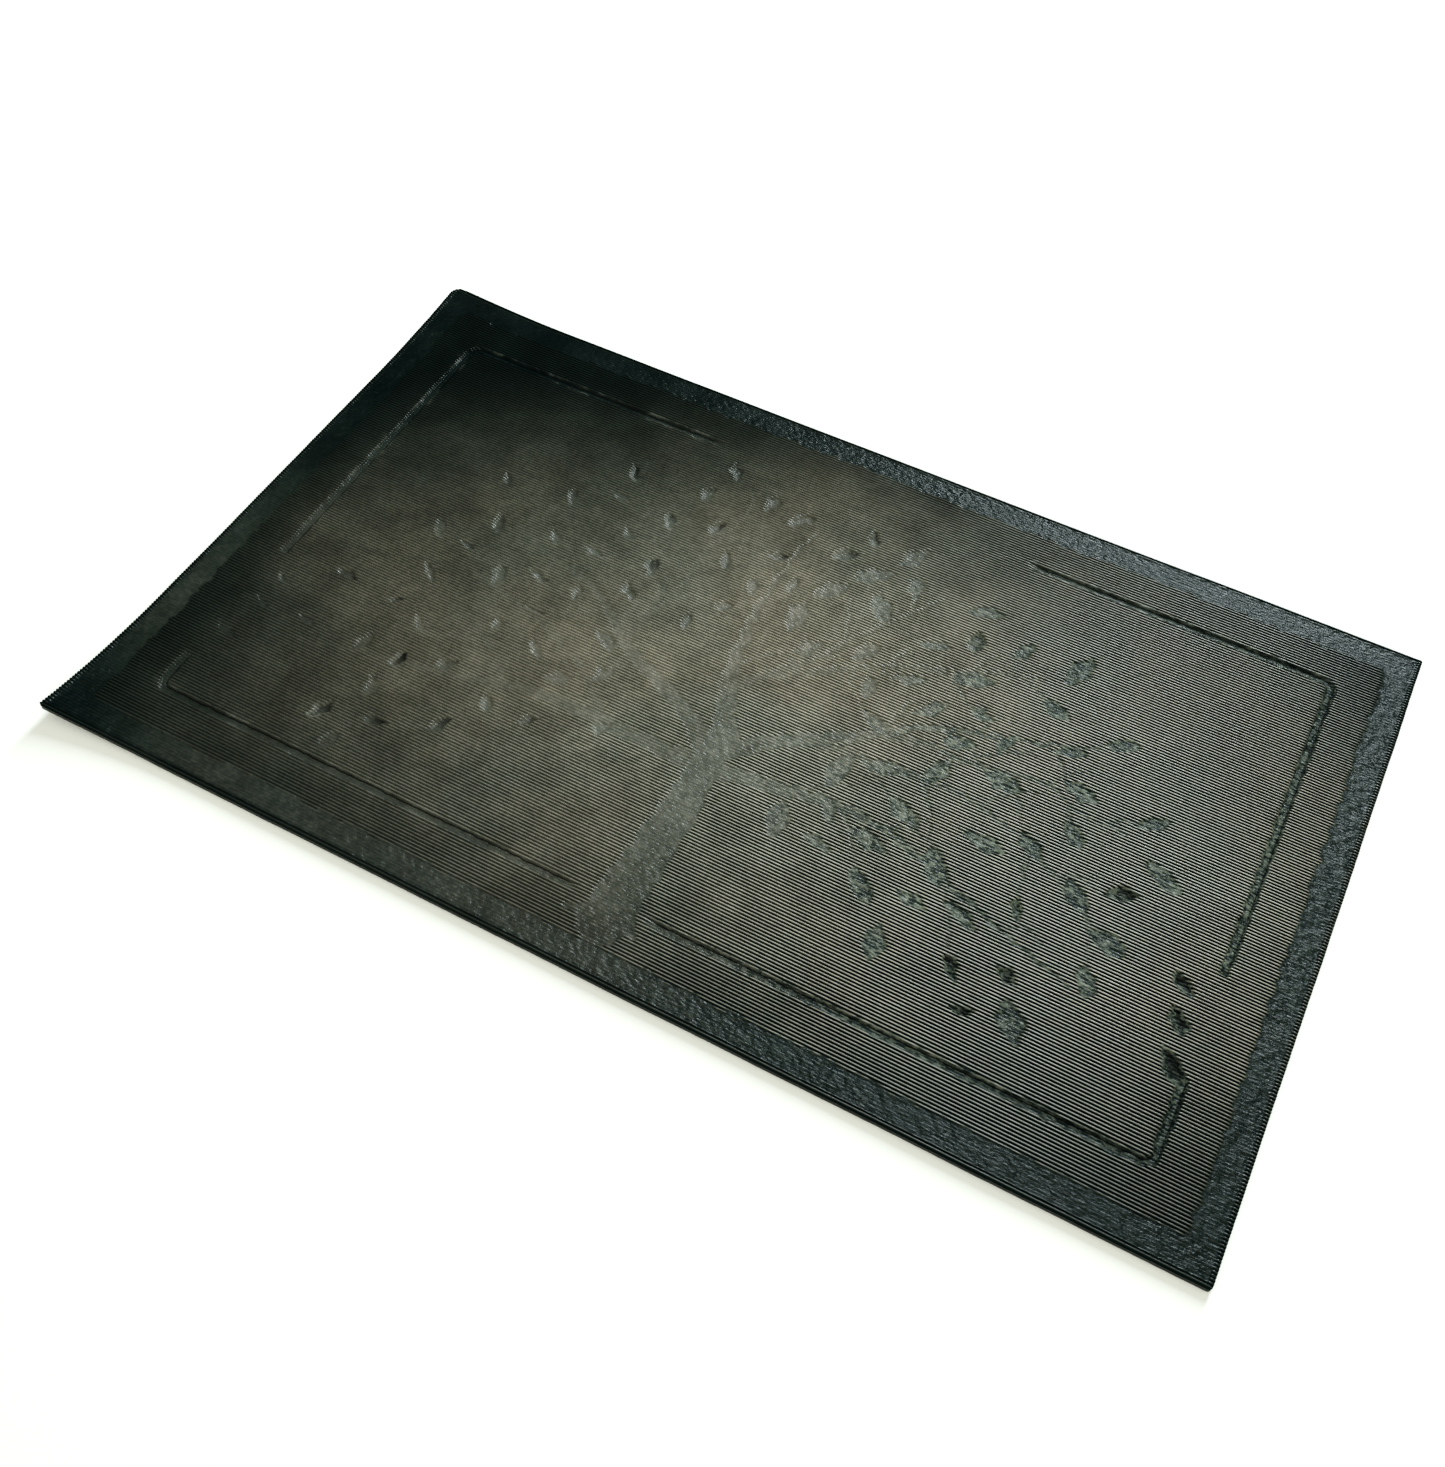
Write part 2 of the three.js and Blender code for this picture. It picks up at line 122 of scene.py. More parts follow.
def smooth(t):
    """Eases clipped t from 0 to 1."""
    t = np.clip(t, 0.0, 1.0)
    return t * t * (3.0 - 2.0 * t)


def value_noise(u, v, seed):
    """Smooth noise from -1 to 1 with features about one unit wide."""
    table = np.random.default_rng(seed).uniform(-1.0, 1.0, (NOISE_CELLS, NOISE_CELLS))
    cell_u = np.floor(u).astype(int)
    cell_v = np.floor(v).astype(int)
    part_u = smooth(u - cell_u)
    part_v = smooth(v - cell_v)
    near_u, far_u = cell_u % NOISE_CELLS, (cell_u + 1) % NOISE_CELLS
    near_v, far_v = cell_v % NOISE_CELLS, (cell_v + 1) % NOISE_CELLS
    near = table[near_u, near_v] * (1 - part_u) + table[far_u, near_v] * part_u
    far = table[near_u, far_v] * (1 - part_u) + table[far_u, far_v] * part_u
    return near * (1 - part_v) + far * part_v


def fractal(x, y, size, octaves, seed, turn=0.0, stretch=1.0):
    """Noise from about -1 to 1 with features of size mm, drawn out along the direction turn."""
    along = (x * math.cos(turn) + y * math.sin(turn)) / (size * stretch)
    across = (y * math.cos(turn) - x * math.sin(turn)) / size
    total = np.zeros(np.broadcast(x, y).shape)
    for octave in range(octaves):
        scale = 2.0 ** octave
        total += value_noise(along * scale + 17.3, across * scale + 5.1, seed + octave) / scale
    return total / (2.0 - 2.0 ** (1 - octaves))


# ---- How the mat lies ----

CORNER_LIFT = 6.5
CORNER_PULL = (0.4, 2.6)
BACK_CORNER_LIFT = 4.0
LIFT_REACH = 74.0
RIM_START = 38.0
RIM_WAVE = 0.7
RIM_WAVE_LENGTH = 70.0
FRONT_RIM_SHARE = 0.6
# How far the cut edge wanders in broad and in fine swings, their sizes, and how deep it reaches
EDGE_WANDER = (0.35, 0.14)
EDGE_WANDER_SIZES = (34.0, 3.0)
EDGE_WANDER_REACH = 5.0
# Shifts that keep the noise of two opposite edges apart
RIGHT_EDGE_SHIFT = 400
BACK_EDGE_SHIFT = 700


def curl(x, y, side):
    """How much the front left corner (side -1) or the back left corner (side 1) curls, 0 to 1."""
    return np.clip(1 + (-x - HALF_LENGTH + side * y - HALF_WIDTH) / LIFT_REACH, 0, None) ** 2


def drape(x, y):
    """How far the rubber is lifted off the floor. It is nothing over the heater and the inlet."""
    lift = CORNER_LIFT * curl(x, y, -1) + BACK_CORNER_LIFT * curl(x, y, 1)
    from_back = smooth((y - HALF_WIDTH + RIM_START) / RIM_START)
    from_front = smooth((-y - HALF_WIDTH + RIM_START) / RIM_START)
    wave = 0.5 + 0.5 * value_noise(x / RIM_WAVE_LENGTH + 3.7, y * 0.0 + 0.5, 31)
    return lift + RIM_WAVE * (from_back ** 2 + FRONT_RIM_SHARE * from_front ** 2) * wave


def rounded_distance(x, y, half_x, half_y, radius):
    """Distance outwards from a rounded rectangle's edge, negative inside."""
    out_x = np.abs(x) - half_x + radius
    out_y = np.abs(y) - half_y + radius
    outside = np.hypot(np.clip(out_x, 0, None), np.clip(out_y, 0, None))
    return outside + np.minimum(np.maximum(out_x, out_y), 0) - radius


def edge_shift(along, seed):
    """How far the cut edge of the rubber wanders inwards, by its place along the side."""
    broad = 0.5 + 0.5 * fractal(along, along * 0 + 0.3, EDGE_WANDER_SIZES[0], 2, seed)
    fine = 0.5 + 0.5 * fractal(along, along * 0 + 0.7, EDGE_WANDER_SIZES[1], 2, seed + 9)
    return EDGE_WANDER[0] * broad + EDGE_WANDER[1] * fine


def settle(x, y, z):
    """Moves flat points of the mat to where they lie. The cut edge wanders, the rim and corners
    lift and the front left corner is pulled out a little."""
    near_x = np.exp(-(HALF_LENGTH - np.abs(x)) / EDGE_WANDER_REACH)
    near_y = np.exp(-(HALF_WIDTH - np.abs(y)) / EDGE_WANDER_REACH)
    moved_x = x - np.sign(x) * near_x * edge_shift(y + RIGHT_EDGE_SHIFT * (x > 0), 51)
    moved_y = y - np.sign(y) * near_y * edge_shift(x + BACK_EDGE_SHIFT * (y > 0), 71)
    pulled = curl(x, y, -1)
    return moved_x - CORNER_PULL[0] * pulled, moved_y - CORNER_PULL[1] * pulled, z + drape(x, y)


def row_reach(y):
    """How far the flat outline reaches to the left and to the right at y."""
    reach = []
    for side_radii in ((CORNER_RADII[0], CORNER_RADII[3]), (CORNER_RADII[1], CORNER_RADII[2])):
        radius = side_radii[0] if y < 0 else side_radii[1]
        into = max(0.0, abs(y) - (HALF_WIDTH - radius))
        reach.append(HALF_LENGTH - radius + math.sqrt(max(radius ** 2 - into ** 2, 0.0)))
    return -reach[0], reach[1]


# ---- The sunk tree ----

TREE_SEED = 23
TRUNK_BASE = (1.0, -131.0)
FORK = (1.0, -28.0)
CROWN_CENTRE = (0.0, -26.0)
CROWN_REACH = (198.0, 132.0)
TRUNK_RADII = (10.5, 6.0)
TRUNK_DEPTH = 0.10
ROOT_RADII = (5.0, 1.4)
ROOT_DEPTH = 0.2
LIMB_COUNT = 13
LIMB_POINTS = 26
WIDEST_TILT = 103
BOUGH_RADIUS = 4.2
LIMB_RADIUS = 1.7
BOUGH_PRESS = 0.8
TWIG_POINTS = 8
TWIG_RADII = (0.7, 0.4)
TWIG_LENGTH = (20, 40)
TWIG_DEPTH = 0.05
TWIG_PRESS = 0.55
LEAF_SPACING = 17.0
LEAF_HALF_LENGTH = (6.5, 10.5)
LEAF_SLIMNESS = (0.38, 0.5)
LEAF_DEPTH_RIGHT = (0.08, 0.3)
LEAF_DEPTH_LEFT = (0.45, 1.0)
LOOSE_LEAF_TRIES = 500
# Past this share of the crown's reach some leaves are deep
CROWN_RIM = 0.66
DEEP_CHANCE = 0.35
DEEPEST_LEAF = 1.2
# Dents by the frame line: side, turn in degrees, half length and share of the deepest
EDGE_DENTS = ((-1, -30, 6.5, 0.55), (1, -48, 9.5, 1.0))
EDGE_DENT_ROWS = (-84, -64, -49)
EDGE_DENT_OUT = 217
STEEP_WALL = 0.55
THINNEST_TOP = 2.66


def bend(start, middle, end, count):
    """Points of a curve that leaves start towards middle and arrives at end."""
    t = np.linspace(0, 1, count)[:, None]
    start, middle, end = np.array(start), np.array(middle), np.array(end)
    return (1 - t) ** 2 * start + 2 * t * (1 - t) * middle + t ** 2 * end


def grow_trunk():
    """The trunk and its roots as strokes: points, radii, depth and press."""
    base, fork = np.array(TRUNK_BASE), np.array(FORK)
    trunk = bend(base, (base + fork) / 2 + (3, 0), fork, 9)
    strokes = [(trunk, np.linspace(*TRUNK_RADII, 9), TRUNK_DEPTH, 1.0)]
    for side in (-1, -0.4, 0.5, 1):
        foot = base + (side * 15, -3 + 2 * abs(side))
        root = bend(base + (0, 16), base + (side * 4, 4), foot, 6)
        strokes.append((root, np.linspace(*ROOT_RADII, 6), ROOT_DEPTH, 1.0))
    return strokes


def grow_limbs(rng, strokes, leaves):
    """Adds the limbs that fan out of the trunk. Every third one is a bough that the next two grow from."""
    fork = np.array(FORK)
    bough = strokes[0][0]
    taper = np.linspace(1, 0, LIMB_POINTS) ** 1.6
    for number, tilt in enumerate(np.linspace(-WIDEST_TILT, WIDEST_TILT, LIMB_COUNT)):
        angle = math.radians(tilt + rng.uniform(-5, 5))
        sideways = abs(math.sin(angle))
        end = np.array(CROWN_CENTRE) + rng.uniform(0.84, 0.98) * np.array(
            (CROWN_REACH[0] * math.sin(angle), CROWN_REACH[1] * math.cos(angle) - 30 * sideways ** 3))
        is_bough = number % 3 == 0
        if is_bough:
            start = fork - (0, 20 * sideways)
        else:
            start = bough[int(rng.uniform(0.2, 0.5) * len(bough))]
        rise = np.array((0, 34 * sideways))
        sway = rng.uniform(-20, 20, 2)
        limb = bend(start, start + (end - start) * 0.5 + rise + sway, end, LIMB_POINTS)
        swings = np.sin(np.linspace(0, rng.uniform(9, 14), LIMB_POINTS))
        limb = limb + swings[:, None] * rng.uniform(-2.4, 2.4, 2)
        thickest, press = (BOUGH_RADIUS, BOUGH_PRESS) if is_bough else (LIMB_RADIUS, TWIG_PRESS)
        strokes.append((limb, 0.6 + thickest * taper, TWIG_DEPTH, press))
        grow_twigs(rng, limb, strokes, leaves)
        bough = limb if is_bough else bough


def scatter_leaves(rng, leaves):
    """Adds loose leaves over the crown, where there is room for them."""
    for _ in range(LOOSE_LEAF_TRIES):
        way, out = rng.uniform(-2.3, 2.3), math.sqrt(rng.uniform(0.06, 0.85))
        spot = np.array(CROWN_CENTRE) + out * np.array(CROWN_REACH) * (math.sin(way), math.cos(way))
        add_leaf_at(rng, spot, math.pi / 2 - way + rng.uniform(-1, 1), leaves)


def add_edge_dents(rng, leaves):
    """Adds three dents by the frame line on each side, smaller from the front to the back."""
    for side, turn, half_length, share in EDGE_DENTS:
        for step, y in enumerate(EDGE_DENT_ROWS):
            x = side * (EDGE_DENT_OUT - 3 * step) + rng.uniform(-2, 2)
            size = half_length / (1 + 0.3 * step)
            angle = math.radians(turn + rng.uniform(-15, 15))
            leaves.append((x, y, angle, size, 0.42 * size, DEEPEST_LEAF * share))


def grow_tree():
    """The whole tree: its strokes, and its leaves as x, y, angle, half length, half width, depth."""
    rng = np.random.default_rng(TREE_SEED)
    strokes, leaves = grow_trunk(), []
    grow_limbs(rng, strokes, leaves)
    scatter_leaves(rng, leaves)
    add_edge_dents(rng, leaves)
    return strokes, leaves


def grow_twigs(rng, limb, strokes, leaves):
    """Adds side twigs and their leaves to one limb."""
    side = rng.choice((-1, 1))
    place = rng.uniform(0.28, 0.38)
    while place < 0.98:
        index = int(place * (len(limb) - 1))
        along = limb[min(index + 1, len(limb) - 1)] - limb[index - 1]
        angle = math.atan2(along[1], along[0]) + side * math.radians(rng.uniform(25, 60))
        length = rng.uniform(*TWIG_LENGTH) * (1.15 - 0.5 * place)
        ahead = length * np.array((math.cos(angle), math.sin(angle)))
        hang = np.array((0, rng.uniform(2, 8)))
        twig = bend(limb[index], limb[index] + ahead * 0.55 + hang, limb[index] + ahead - hang, TWIG_POINTS)
        strokes.append((twig, np.linspace(*TWIG_RADII, TWIG_POINTS), TWIG_DEPTH, TWIG_PRESS))
        for point, offset in ((TWIG_POINTS - 1, 0.0), (TWIG_POINTS // 2 - 1, 0.9)):
            add_leaf_at(rng, twig[point], angle + offset * rng.uniform(0.6, 1.0), leaves)
        side = -side
        place += rng.uniform(0.10, 0.17)


def add_leaf_at(rng, spot, turn, leaves):
    """Adds a leaf that grows from a spot. Those at the rim of the crown can be deep."""
    half_length = rng.uniform(*LEAF_HALF_LENGTH)
    centre = spot + half_length * np.array((math.cos(turn), math.sin(turn)))
    if any(math.dist(centre, leaf[:2]) < LEAF_SPACING for leaf in leaves):
        return
    outer = np.hypot(*((spot - CROWN_CENTRE) / np.array(CROWN_REACH)))
    depth = rng.uniform(*(LEAF_DEPTH_RIGHT if spot[0] > 0 else LEAF_DEPTH_LEFT))
    if outer > CROWN_RIM and rng.random() < DEEP_CHANCE:
        depth = rng.uniform(0.75, 1.0) * DEEPEST_LEAF
    half_length *= 1.0 - 0.3 * (depth > 0.3)
    leaves.append((*centre, turn, half_length, half_length * rng.uniform(*LEAF_SLIMNESS), depth))


# How far the shapes' outlines are pushed about, and over what distance that changes
RAGGED = 1.7
RAGGED_SIZE = 3.4


class Relief:
    """Pressed and sunk areas of the top, as fields over a grid of points."""

    def __init__(self, xs, ys):
        self.xs, self.ys = xs, ys
        self.x, self.y = np.meshgrid(xs, ys)
        self.warp_x = self.x + RAGGED * self.noise(RAGGED_SIZE, 2, 101)
        self.warp_y = self.y + RAGGED * self.noise(RAGGED_SIZE, 2, 103)
        self.press, self.border, self.sink, self.wear_and_highlight = np.zeros((4, *self.x.shape))
        self.firm = 0.45 + 0.55 * smooth((self.x + 190) / 230)
        self.broken = smooth(0.62 + 1.1 * self.noise(5.0, 2, 141))
        self.dust_and_sheen = self.dust_and_sheen_field()
        self.add_band()
        self.add_frame_line()
        strokes, leaves = grow_tree()
        for points, radii, depth, press in strokes:
            for index in range(len(points) - 1):
                self.add_segment(points[index:index + 2], radii[index:index + 2], depth, press)
        for leaf in leaves:
            self.add_leaf(*leaf)

    def noise(self, size, octaves, seed):
        return fractal(self.x, self.y, size, octaves, seed)

    def dust_and_sheen_field(self):
        """Fine dust and painted sheen: lightest over the middle and the right half, where the window's
        sheen falls, thinner to the left.
        """
        out = np.hypot((self.x - 80) / 400, (self.y + 6 - 0.16 * np.minimum(self.x, 0)) / 200)
        out = out + 0.07 * self.noise(70.0, 3, 131)
        amount = 0.76 - 0.17 * smooth((self.x - 40) / 110)
        blotches = 1 + 0.16 * self.noise(28.0, 3, 137) * smooth((self.x + 20) / 120)
        blotches = blotches + 0.16 * self.noise(4.0, 3, 139)
        kept = 1 - 0.5 * smooth((FRAME_INSET - HALF_LENGTH - self.x) / 10)
        return amount * blotches * kept * (1 - smooth((out - 0.2) / 0.85))

    def add_band(self):
        """The border band where the ribs are pressed flat."""
        inwards = np.minimum(HALF_LENGTH - np.abs(self.x), HALF_WIDTH - np.abs(self.y))
        lip = LIP_WIDTH + 0.45 * self.noise(2.6, 2, 111)
        inner = -rounded_distance(self.warp_x, self.warp_y, HALF_LENGTH - BAND_INNER,
                                  HALF_WIDTH - BAND_INNER, BAND_CORNER)
        band = smooth((inwards - lip) / 0.7) * smooth(0.5 - inner / 1.0)
        self.press = np.maximum(self.press, band)
        self.border = band
        off_corner = np.hypot(self.x + HALF_LENGTH, self.y + HALF_WIDTH)
        gathered = 0.2 * smooth((100 - self.x) / 120) * smooth((60 - self.y) / 140)
        gathered = gathered * smooth((off_corner - 10) / 70)
        self.dust_and_sheen = self.dust_and_sheen * (1 - 0.85 * band) + gathered * band
        self.dust_and_sheen = self.dust_and_sheen * (0.3 + 0.7 * smooth((inwards - 1.5) / 2.5))

    def add_frame_line(self):
        """The sunk frame line with its four gaps."""
        offset = rounded_distance(self.x, self.y, HALF_LENGTH - FRAME_INSET,
                                  HALF_WIDTH - FRAME_INSET, FRAME_CORNER)
        offset = offset + 0.4 * self.noise(3.2, 2, 121)
        on_side = np.abs(self.y) < HALF_WIDTH - FRAME_INSET - FRAME_CORNER
        towards_back = offset * np.where(on_side, np.sign(self.x), np.sign(self.y))
        offset = np.abs(offset)
        ragged = 1.5 * self.noise(3.0, 2, 123)
        open_part = np.ones(self.x.shape)
        for side, out, along, fade, gaps in ((on_side, self.x, self.y, 2.0, (GAP_LEFT, GAP_RIGHT)),
                                             (~on_side, self.y, self.x, 8.0, (GAP_FRONT, GAP_BACK))):
            for sign, (centre, half) in zip((-1, 1), gaps):
                here = side & (np.sign(out) == sign)
                past = np.abs(along - centre) - half + ragged
                open_part = np.where(here, np.minimum(open_part, smooth(past / fade)), open_part)
        pressed = FRAME_HALF_WIDTH + 0.5 + 0.9 * self.noise(2.6, 2, 125) - offset
        self.press = np.maximum(self.press, open_part * smooth(pressed / 0.5))
        floor = smooth((FRAME_HALF_WIDTH - offset) / 0.4)
        slope = 0.78 + 0.6 * smooth((towards_back / FRAME_HALF_WIDTH - 0.1) / 0.6)
        self.sink = np.maximum(self.sink, open_part * FRAME_DEPTH * floor * slope)
        edge = np.exp(-((offset - FRAME_HALF_WIDTH - 0.3) / 0.4) ** 2)
        self.wear_and_highlight = np.maximum(self.wear_and_highlight, open_part * edge)

    def window(self, low, high, margin):
        """The part of the grid that covers a box."""
        columns = slice(*np.searchsorted(self.xs, (low[0] - margin, high[0] + margin)))
        rows = slice(*np.searchsorted(self.ys, (low[1] - margin, high[1] + margin)))
        return rows, columns

    def add_segment(self, ends, radii, depth, press):
        """A short straight piece of a pressed stroke."""
        part = self.window(ends.min(0), ends.max(0), max(radii) + 1.5)
        along = ends[1] - ends[0]
        from_x = self.warp_x[part] - ends[0][0]
        from_y = self.warp_y[part] - ends[0][1]
        t = np.clip((from_x * along[0] + from_y * along[1]) / (along @ along), 0, 1)
        gap = np.hypot(from_x - t * along[0], from_y - t * along[1])
        inside = radii[0] + (radii[1] - radii[0]) * t - gap
        whole = press + (1 - press) * self.broken[part]
        pressed = press * whole * self.firm[part] * smooth(inside / 0.6 + 0.6)
        self.press[part] = np.maximum(self.press[part], pressed)
        self.sink[part] = np.maximum(self.sink[part], depth * smooth(inside / 0.9 + 0.2))

    def add_leaf(self, x, y, turn, half_length, half_width, depth):
        """A lens-shaped dent."""
        centre = np.array((x, y))
        part = self.window(centre - half_length, centre + half_length, 2.0)
        from_x, from_y = self.warp_x[part] - x, self.warp_y[part] - y
        along = from_x * math.cos(turn) + from_y * math.sin(turn)
        across = from_y * math.cos(turn) - from_x * math.sin(turn)
        half_here = half_width * (1 - (along / half_length) ** 2)
        inside = half_here - np.abs(across)
        pressed = max(depth, 0.4) ** 0.5 * smooth(inside / 0.6 + 0.7)
        self.press[part] = np.maximum(self.press[part], np.clip(pressed * self.firm[part] * 1.5, 0, 1))
        lean = 0.5 + 0.5 * np.clip((0.5 * from_x + 0.85 * from_y) / half_width, -1, 1)
        wall = STEEP_WALL * lean + 0.9 * half_width * (1 - lean)
        bowl = smooth(inside / wall) * (0.75 + 0.25 * lean)
        self.sink[part] = np.maximum(self.sink[part], depth * bowl)
        # The light rim is partly wear and partly a painted highlight, strongest on the dent's front side,
        # where the window's light falls.
        rim = np.exp(-((inside + 0.1) / 0.5) ** 2) * (1.3 - lean)
        self.wear_and_highlight[part] = np.maximum(self.wear_and_highlight[part], rim * min(max(depth, 0.35), 1.0))


# ---- Mesh building ----

UNDER_SCALE = 0.58
UNDER_SKIRT = 3.0
UV_GAP = 0.01


class Shell:
    """A closed mesh put together from surface patches and rings."""

    def __init__(self):
        self.points = []
        self.faces = []
        self.count = 0

    def add_points(self, x, y, z):
        """Adds flat mat points and returns their numbers."""
        settled = np.stack(settle(np.asarray(x, float), np.asarray(y, float), np.asarray(z, float)), 1)
        self.points.append(np.column_stack((settled, x, y)))
        ids = np.arange(self.count, self.count + len(settled))
        self.count += len(settled)
        return ids

    def zip_rows(self, places_a, ids_a, places_b, ids_b):
        """Faces between two rows of points, each sorted by place along the row."""
        i, k = 0, 0
        last_a, last_b = len(ids_a) - 1, len(ids_b) - 1
        while i < last_a or k < last_b:
            next_a = places_a[i + 1] if i < last_a else math.inf
            next_b = places_b[k + 1] if k < last_b else math.inf
            if next_a == next_b:
                self.faces.append((ids_a[i], ids_a[i + 1], ids_b[k + 1], ids_b[k]))
                i, k = i + 1, k + 1
            elif next_a < next_b:
                self.faces.append((ids_a[i], ids_a[i + 1], ids_b[k]))
                i += 1
            else:
                self.faces.append((ids_a[i], ids_b[k + 1], ids_b[k]))
                k += 1

    def zip_loops(self, places_a, ids_a, places_b, ids_b):
        """Faces between two closed loops, each sorted by place round the loop from 0 to 4."""
        self.zip_rows([*places_a, places_a[0] + 4], [*ids_a, ids_a[0]],
                      [*places_b, places_b[0] + 4], [*ids_b, ids_b[0]])

    def in_order(self, ids):
        """The places round the mat of a closed loop of points, and the loop, from the lowest on."""
        points = np.concatenate(self.points)[ids]
        return from_start(loop_places(points[:, 3], points[:, 4]), ids)

    def patch(self, xs, ys, height, faces_up):
        """A rectangular grid of faces. Returns the point numbers of its border, anticlockwise."""
        grid_x, grid_y = np.meshgrid(xs, ys)
        ids = self.add_points(grid_x.ravel(), grid_y.ravel(), height(grid_x, grid_y).ravel())
        ids = ids.reshape(grid_x.shape)
        for row in range(len(ys) - 1):
            for column in range(len(xs) - 1):
                square = (ids[row, column], ids[row, column + 1],
                          ids[row + 1, column + 1], ids[row + 1, column])
                self.faces.append(square if faces_up else square[::-1])
        return np.concatenate((ids[0, :-1], ids[:-1, -1], ids[-1, :0:-1], ids[:0:-1, 0]))

    def make(self, name, attributes=None, top_faces=0):
        """Makes the Blender object. Its first top_faces faces are its upper face."""
        points = np.concatenate(self.points)
        mesh = bpy.data.meshes.new(name)
        mesh.from_pydata((points[:, :3] * MM).tolist(), [], [[int(i) for i in f] for f in self.faces])
        for key, values in (attributes or {}).items():
            layer = mesh.attributes.new(key, "FLOAT", "POINT")
            layer.data.foreach_set("value", np.asarray(values, np.float32))
        self.lay_out(mesh, points, top_faces)
        mesh.shade_smooth()
        mesh.update()
        return new_object(name, mesh)

    def lay_out(self, mesh, points, top_faces):
        """Lays the upper face flat in the lower part of the texture and the rest above it."""
        corners = np.empty(len(mesh.loops), int)
        mesh.loops.foreach_get("vertex_index", corners)
        is_top = np.arange(len(corners)) < sum(len(face) for face in self.faces[:top_faces])
        x, y, z = points[corners, 3], points[corners, 4], points[corners, 2]
        outwards = 1 + UNDER_SKIRT * (z - points[:, 2].min()) / HALF_LENGTH
        scale = np.where(is_top, 1.0, UNDER_SCALE / (1 + UNDER_SKIRT * 10 / HALF_LENGTH))
        spread_out = np.where(is_top, 1.0, outwards) * scale
        centre = np.where(is_top, 1.0, UNDER_SCALE)
        across = (x * spread_out + HALF_LENGTH * centre) / (2 * HALF_LENGTH)
        up = (y * spread_out + HALF_WIDTH * centre) / (2 * HALF_LENGTH)
        up = up + np.where(is_top, 0.0, HALF_WIDTH / HALF_LENGTH + UV_GAP)
        layer = mesh.uv_layers.new(name="OFBake")
        layer.data.foreach_set("uv", np.column_stack((across, up)).ravel())


def loop_places(x, y):
    """Places from 0 to 4 round the mat of points, by the nearest spot on the inset rectangle."""
    half_x, half_y = HALF_LENGTH - UNDER_INSET, HALF_WIDTH - UNDER_INSET
    side_x = np.clip(x, -half_x, half_x)
    side_y = np.clip(y, -half_y, half_y)
    share_x = (side_x + half_x) / (2 * half_x)
    share_y = (side_y + half_y) / (2 * half_y)
    over_x = (np.abs(x) - half_x) >= (np.abs(y) - half_y)
    return np.where(over_x, np.where(x > 0, 1 + share_y, 4 - share_y),
                    np.where(y < 0, share_x, 3 - share_x))


def from_start(places, ids):
    """Turns a closed loop so that its places rise from the lowest."""
    start = int(np.argmin(places))
    return np.maximum.accumulate(np.roll(places, -start)), np.roll(ids, -start)


def step_lines(low, high, lines):
    """Grid places from low to high at an even step, with a close pair at each line."""
    count = int(math.ceil((high - low) / UNDER_STEP))
    even = [v for v in np.linspace(low, high, count + 1) if all(abs(v - line) > 1.0 for line in lines)]
    pairs = [line + side * 0.02 for line in lines for side in (-1, 1)]
    return np.array(sorted({low, high, *even, *pairs}))


# ---- The room that the sheets leave for the heater, the leads and the inlet ----

POCKET_X = HALF_LENGTH - 37.0
POCKET_Y = HALF_WIDTH - 37.0
POCKET_FLOOR = 0.8
POCKET_ROOF = 2.5
inlet_low, inlet_high = (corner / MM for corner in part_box("inlet_housing"))
INLET_CLEARANCE = 0.1
INLET_HEADROOM = 0.03
CHANNEL_HALF = 8.0


def in_pocket(x, y):
    return (np.abs(x) < POCKET_X) & (np.abs(y) < POCKET_Y)


def in_channel(x, y):
    middle = (inlet_low.y + inlet_high.y) / 2
    return (x < -POCKET_X + 1) & (x > inlet_high.x - 1) & (np.abs(y - middle) < CHANNEL_HALF)


def in_inlet(x, y):
    between = (y > inlet_low.y - INLET_CLEARANCE) & (y < inlet_high.y + INLET_CLEARANCE)
    return between & (x < inlet_high.x + INLET_CLEARANCE)


def roof(x, y):
    """Underside of the top sheet."""
    z = np.where(in_pocket(x, y) | in_channel(x, y), POCKET_ROOF, TOP_SHEET_LOW)
    return np.where(in_inlet(x, y), inlet_high.z + INLET_HEADROOM, z)


def ground(x, y):
    """Upper face of the bottom sheet."""
    z = np.where(in_pocket(x, y), POCKET_FLOOR, BOTTOM_SHEET_HIGH)
    return np.where(in_inlet(x, y) | in_channel(x, y), inlet_low.z - INLET_HEADROOM, z)


def inner_grid():
    """Columns and rows of the coarse faces inside the shells."""
    middle = (inlet_low.y + inlet_high.y) / 2
    column_lines = [-POCKET_X, POCKET_X, inlet_high.x + INLET_CLEARANCE]
    row_lines = [-POCKET_Y, POCKET_Y, middle - CHANNEL_HALF, middle + CHANNEL_HALF,
                 inlet_low.y - INLET_CLEARANCE, inlet_high.y + INLET_CLEARANCE]
    half_x, half_y = HALF_LENGTH - UNDER_INSET, HALF_WIDTH - UNDER_INSET
    return step_lines(-half_x, half_x, column_lines), step_lines(-half_y, half_y, row_lines)


# ---- Top sheet ----

# The fine drawn-out roughness and the softer lumps of the pressed areas
FIBRE_HEIGHT = 0.36
FIBRE_SIZE = 1.2
FIBRE_TURN = math.radians(-42)
FIBRE_STRETCH = 1.8
LUMP_HEIGHT = 0.06
LUMP_SIZE = 4.0
UNEVENNESS = 0.10
UNEVEN_SIZE = 60.0
# Where press or sink is above this, the grid keeps all its points
DETAIL_FROM = 0.02
# The rows of ring points down the cut edge, as shares of the way to the underside
EDGE_RINGS = (0.45, 1.0)


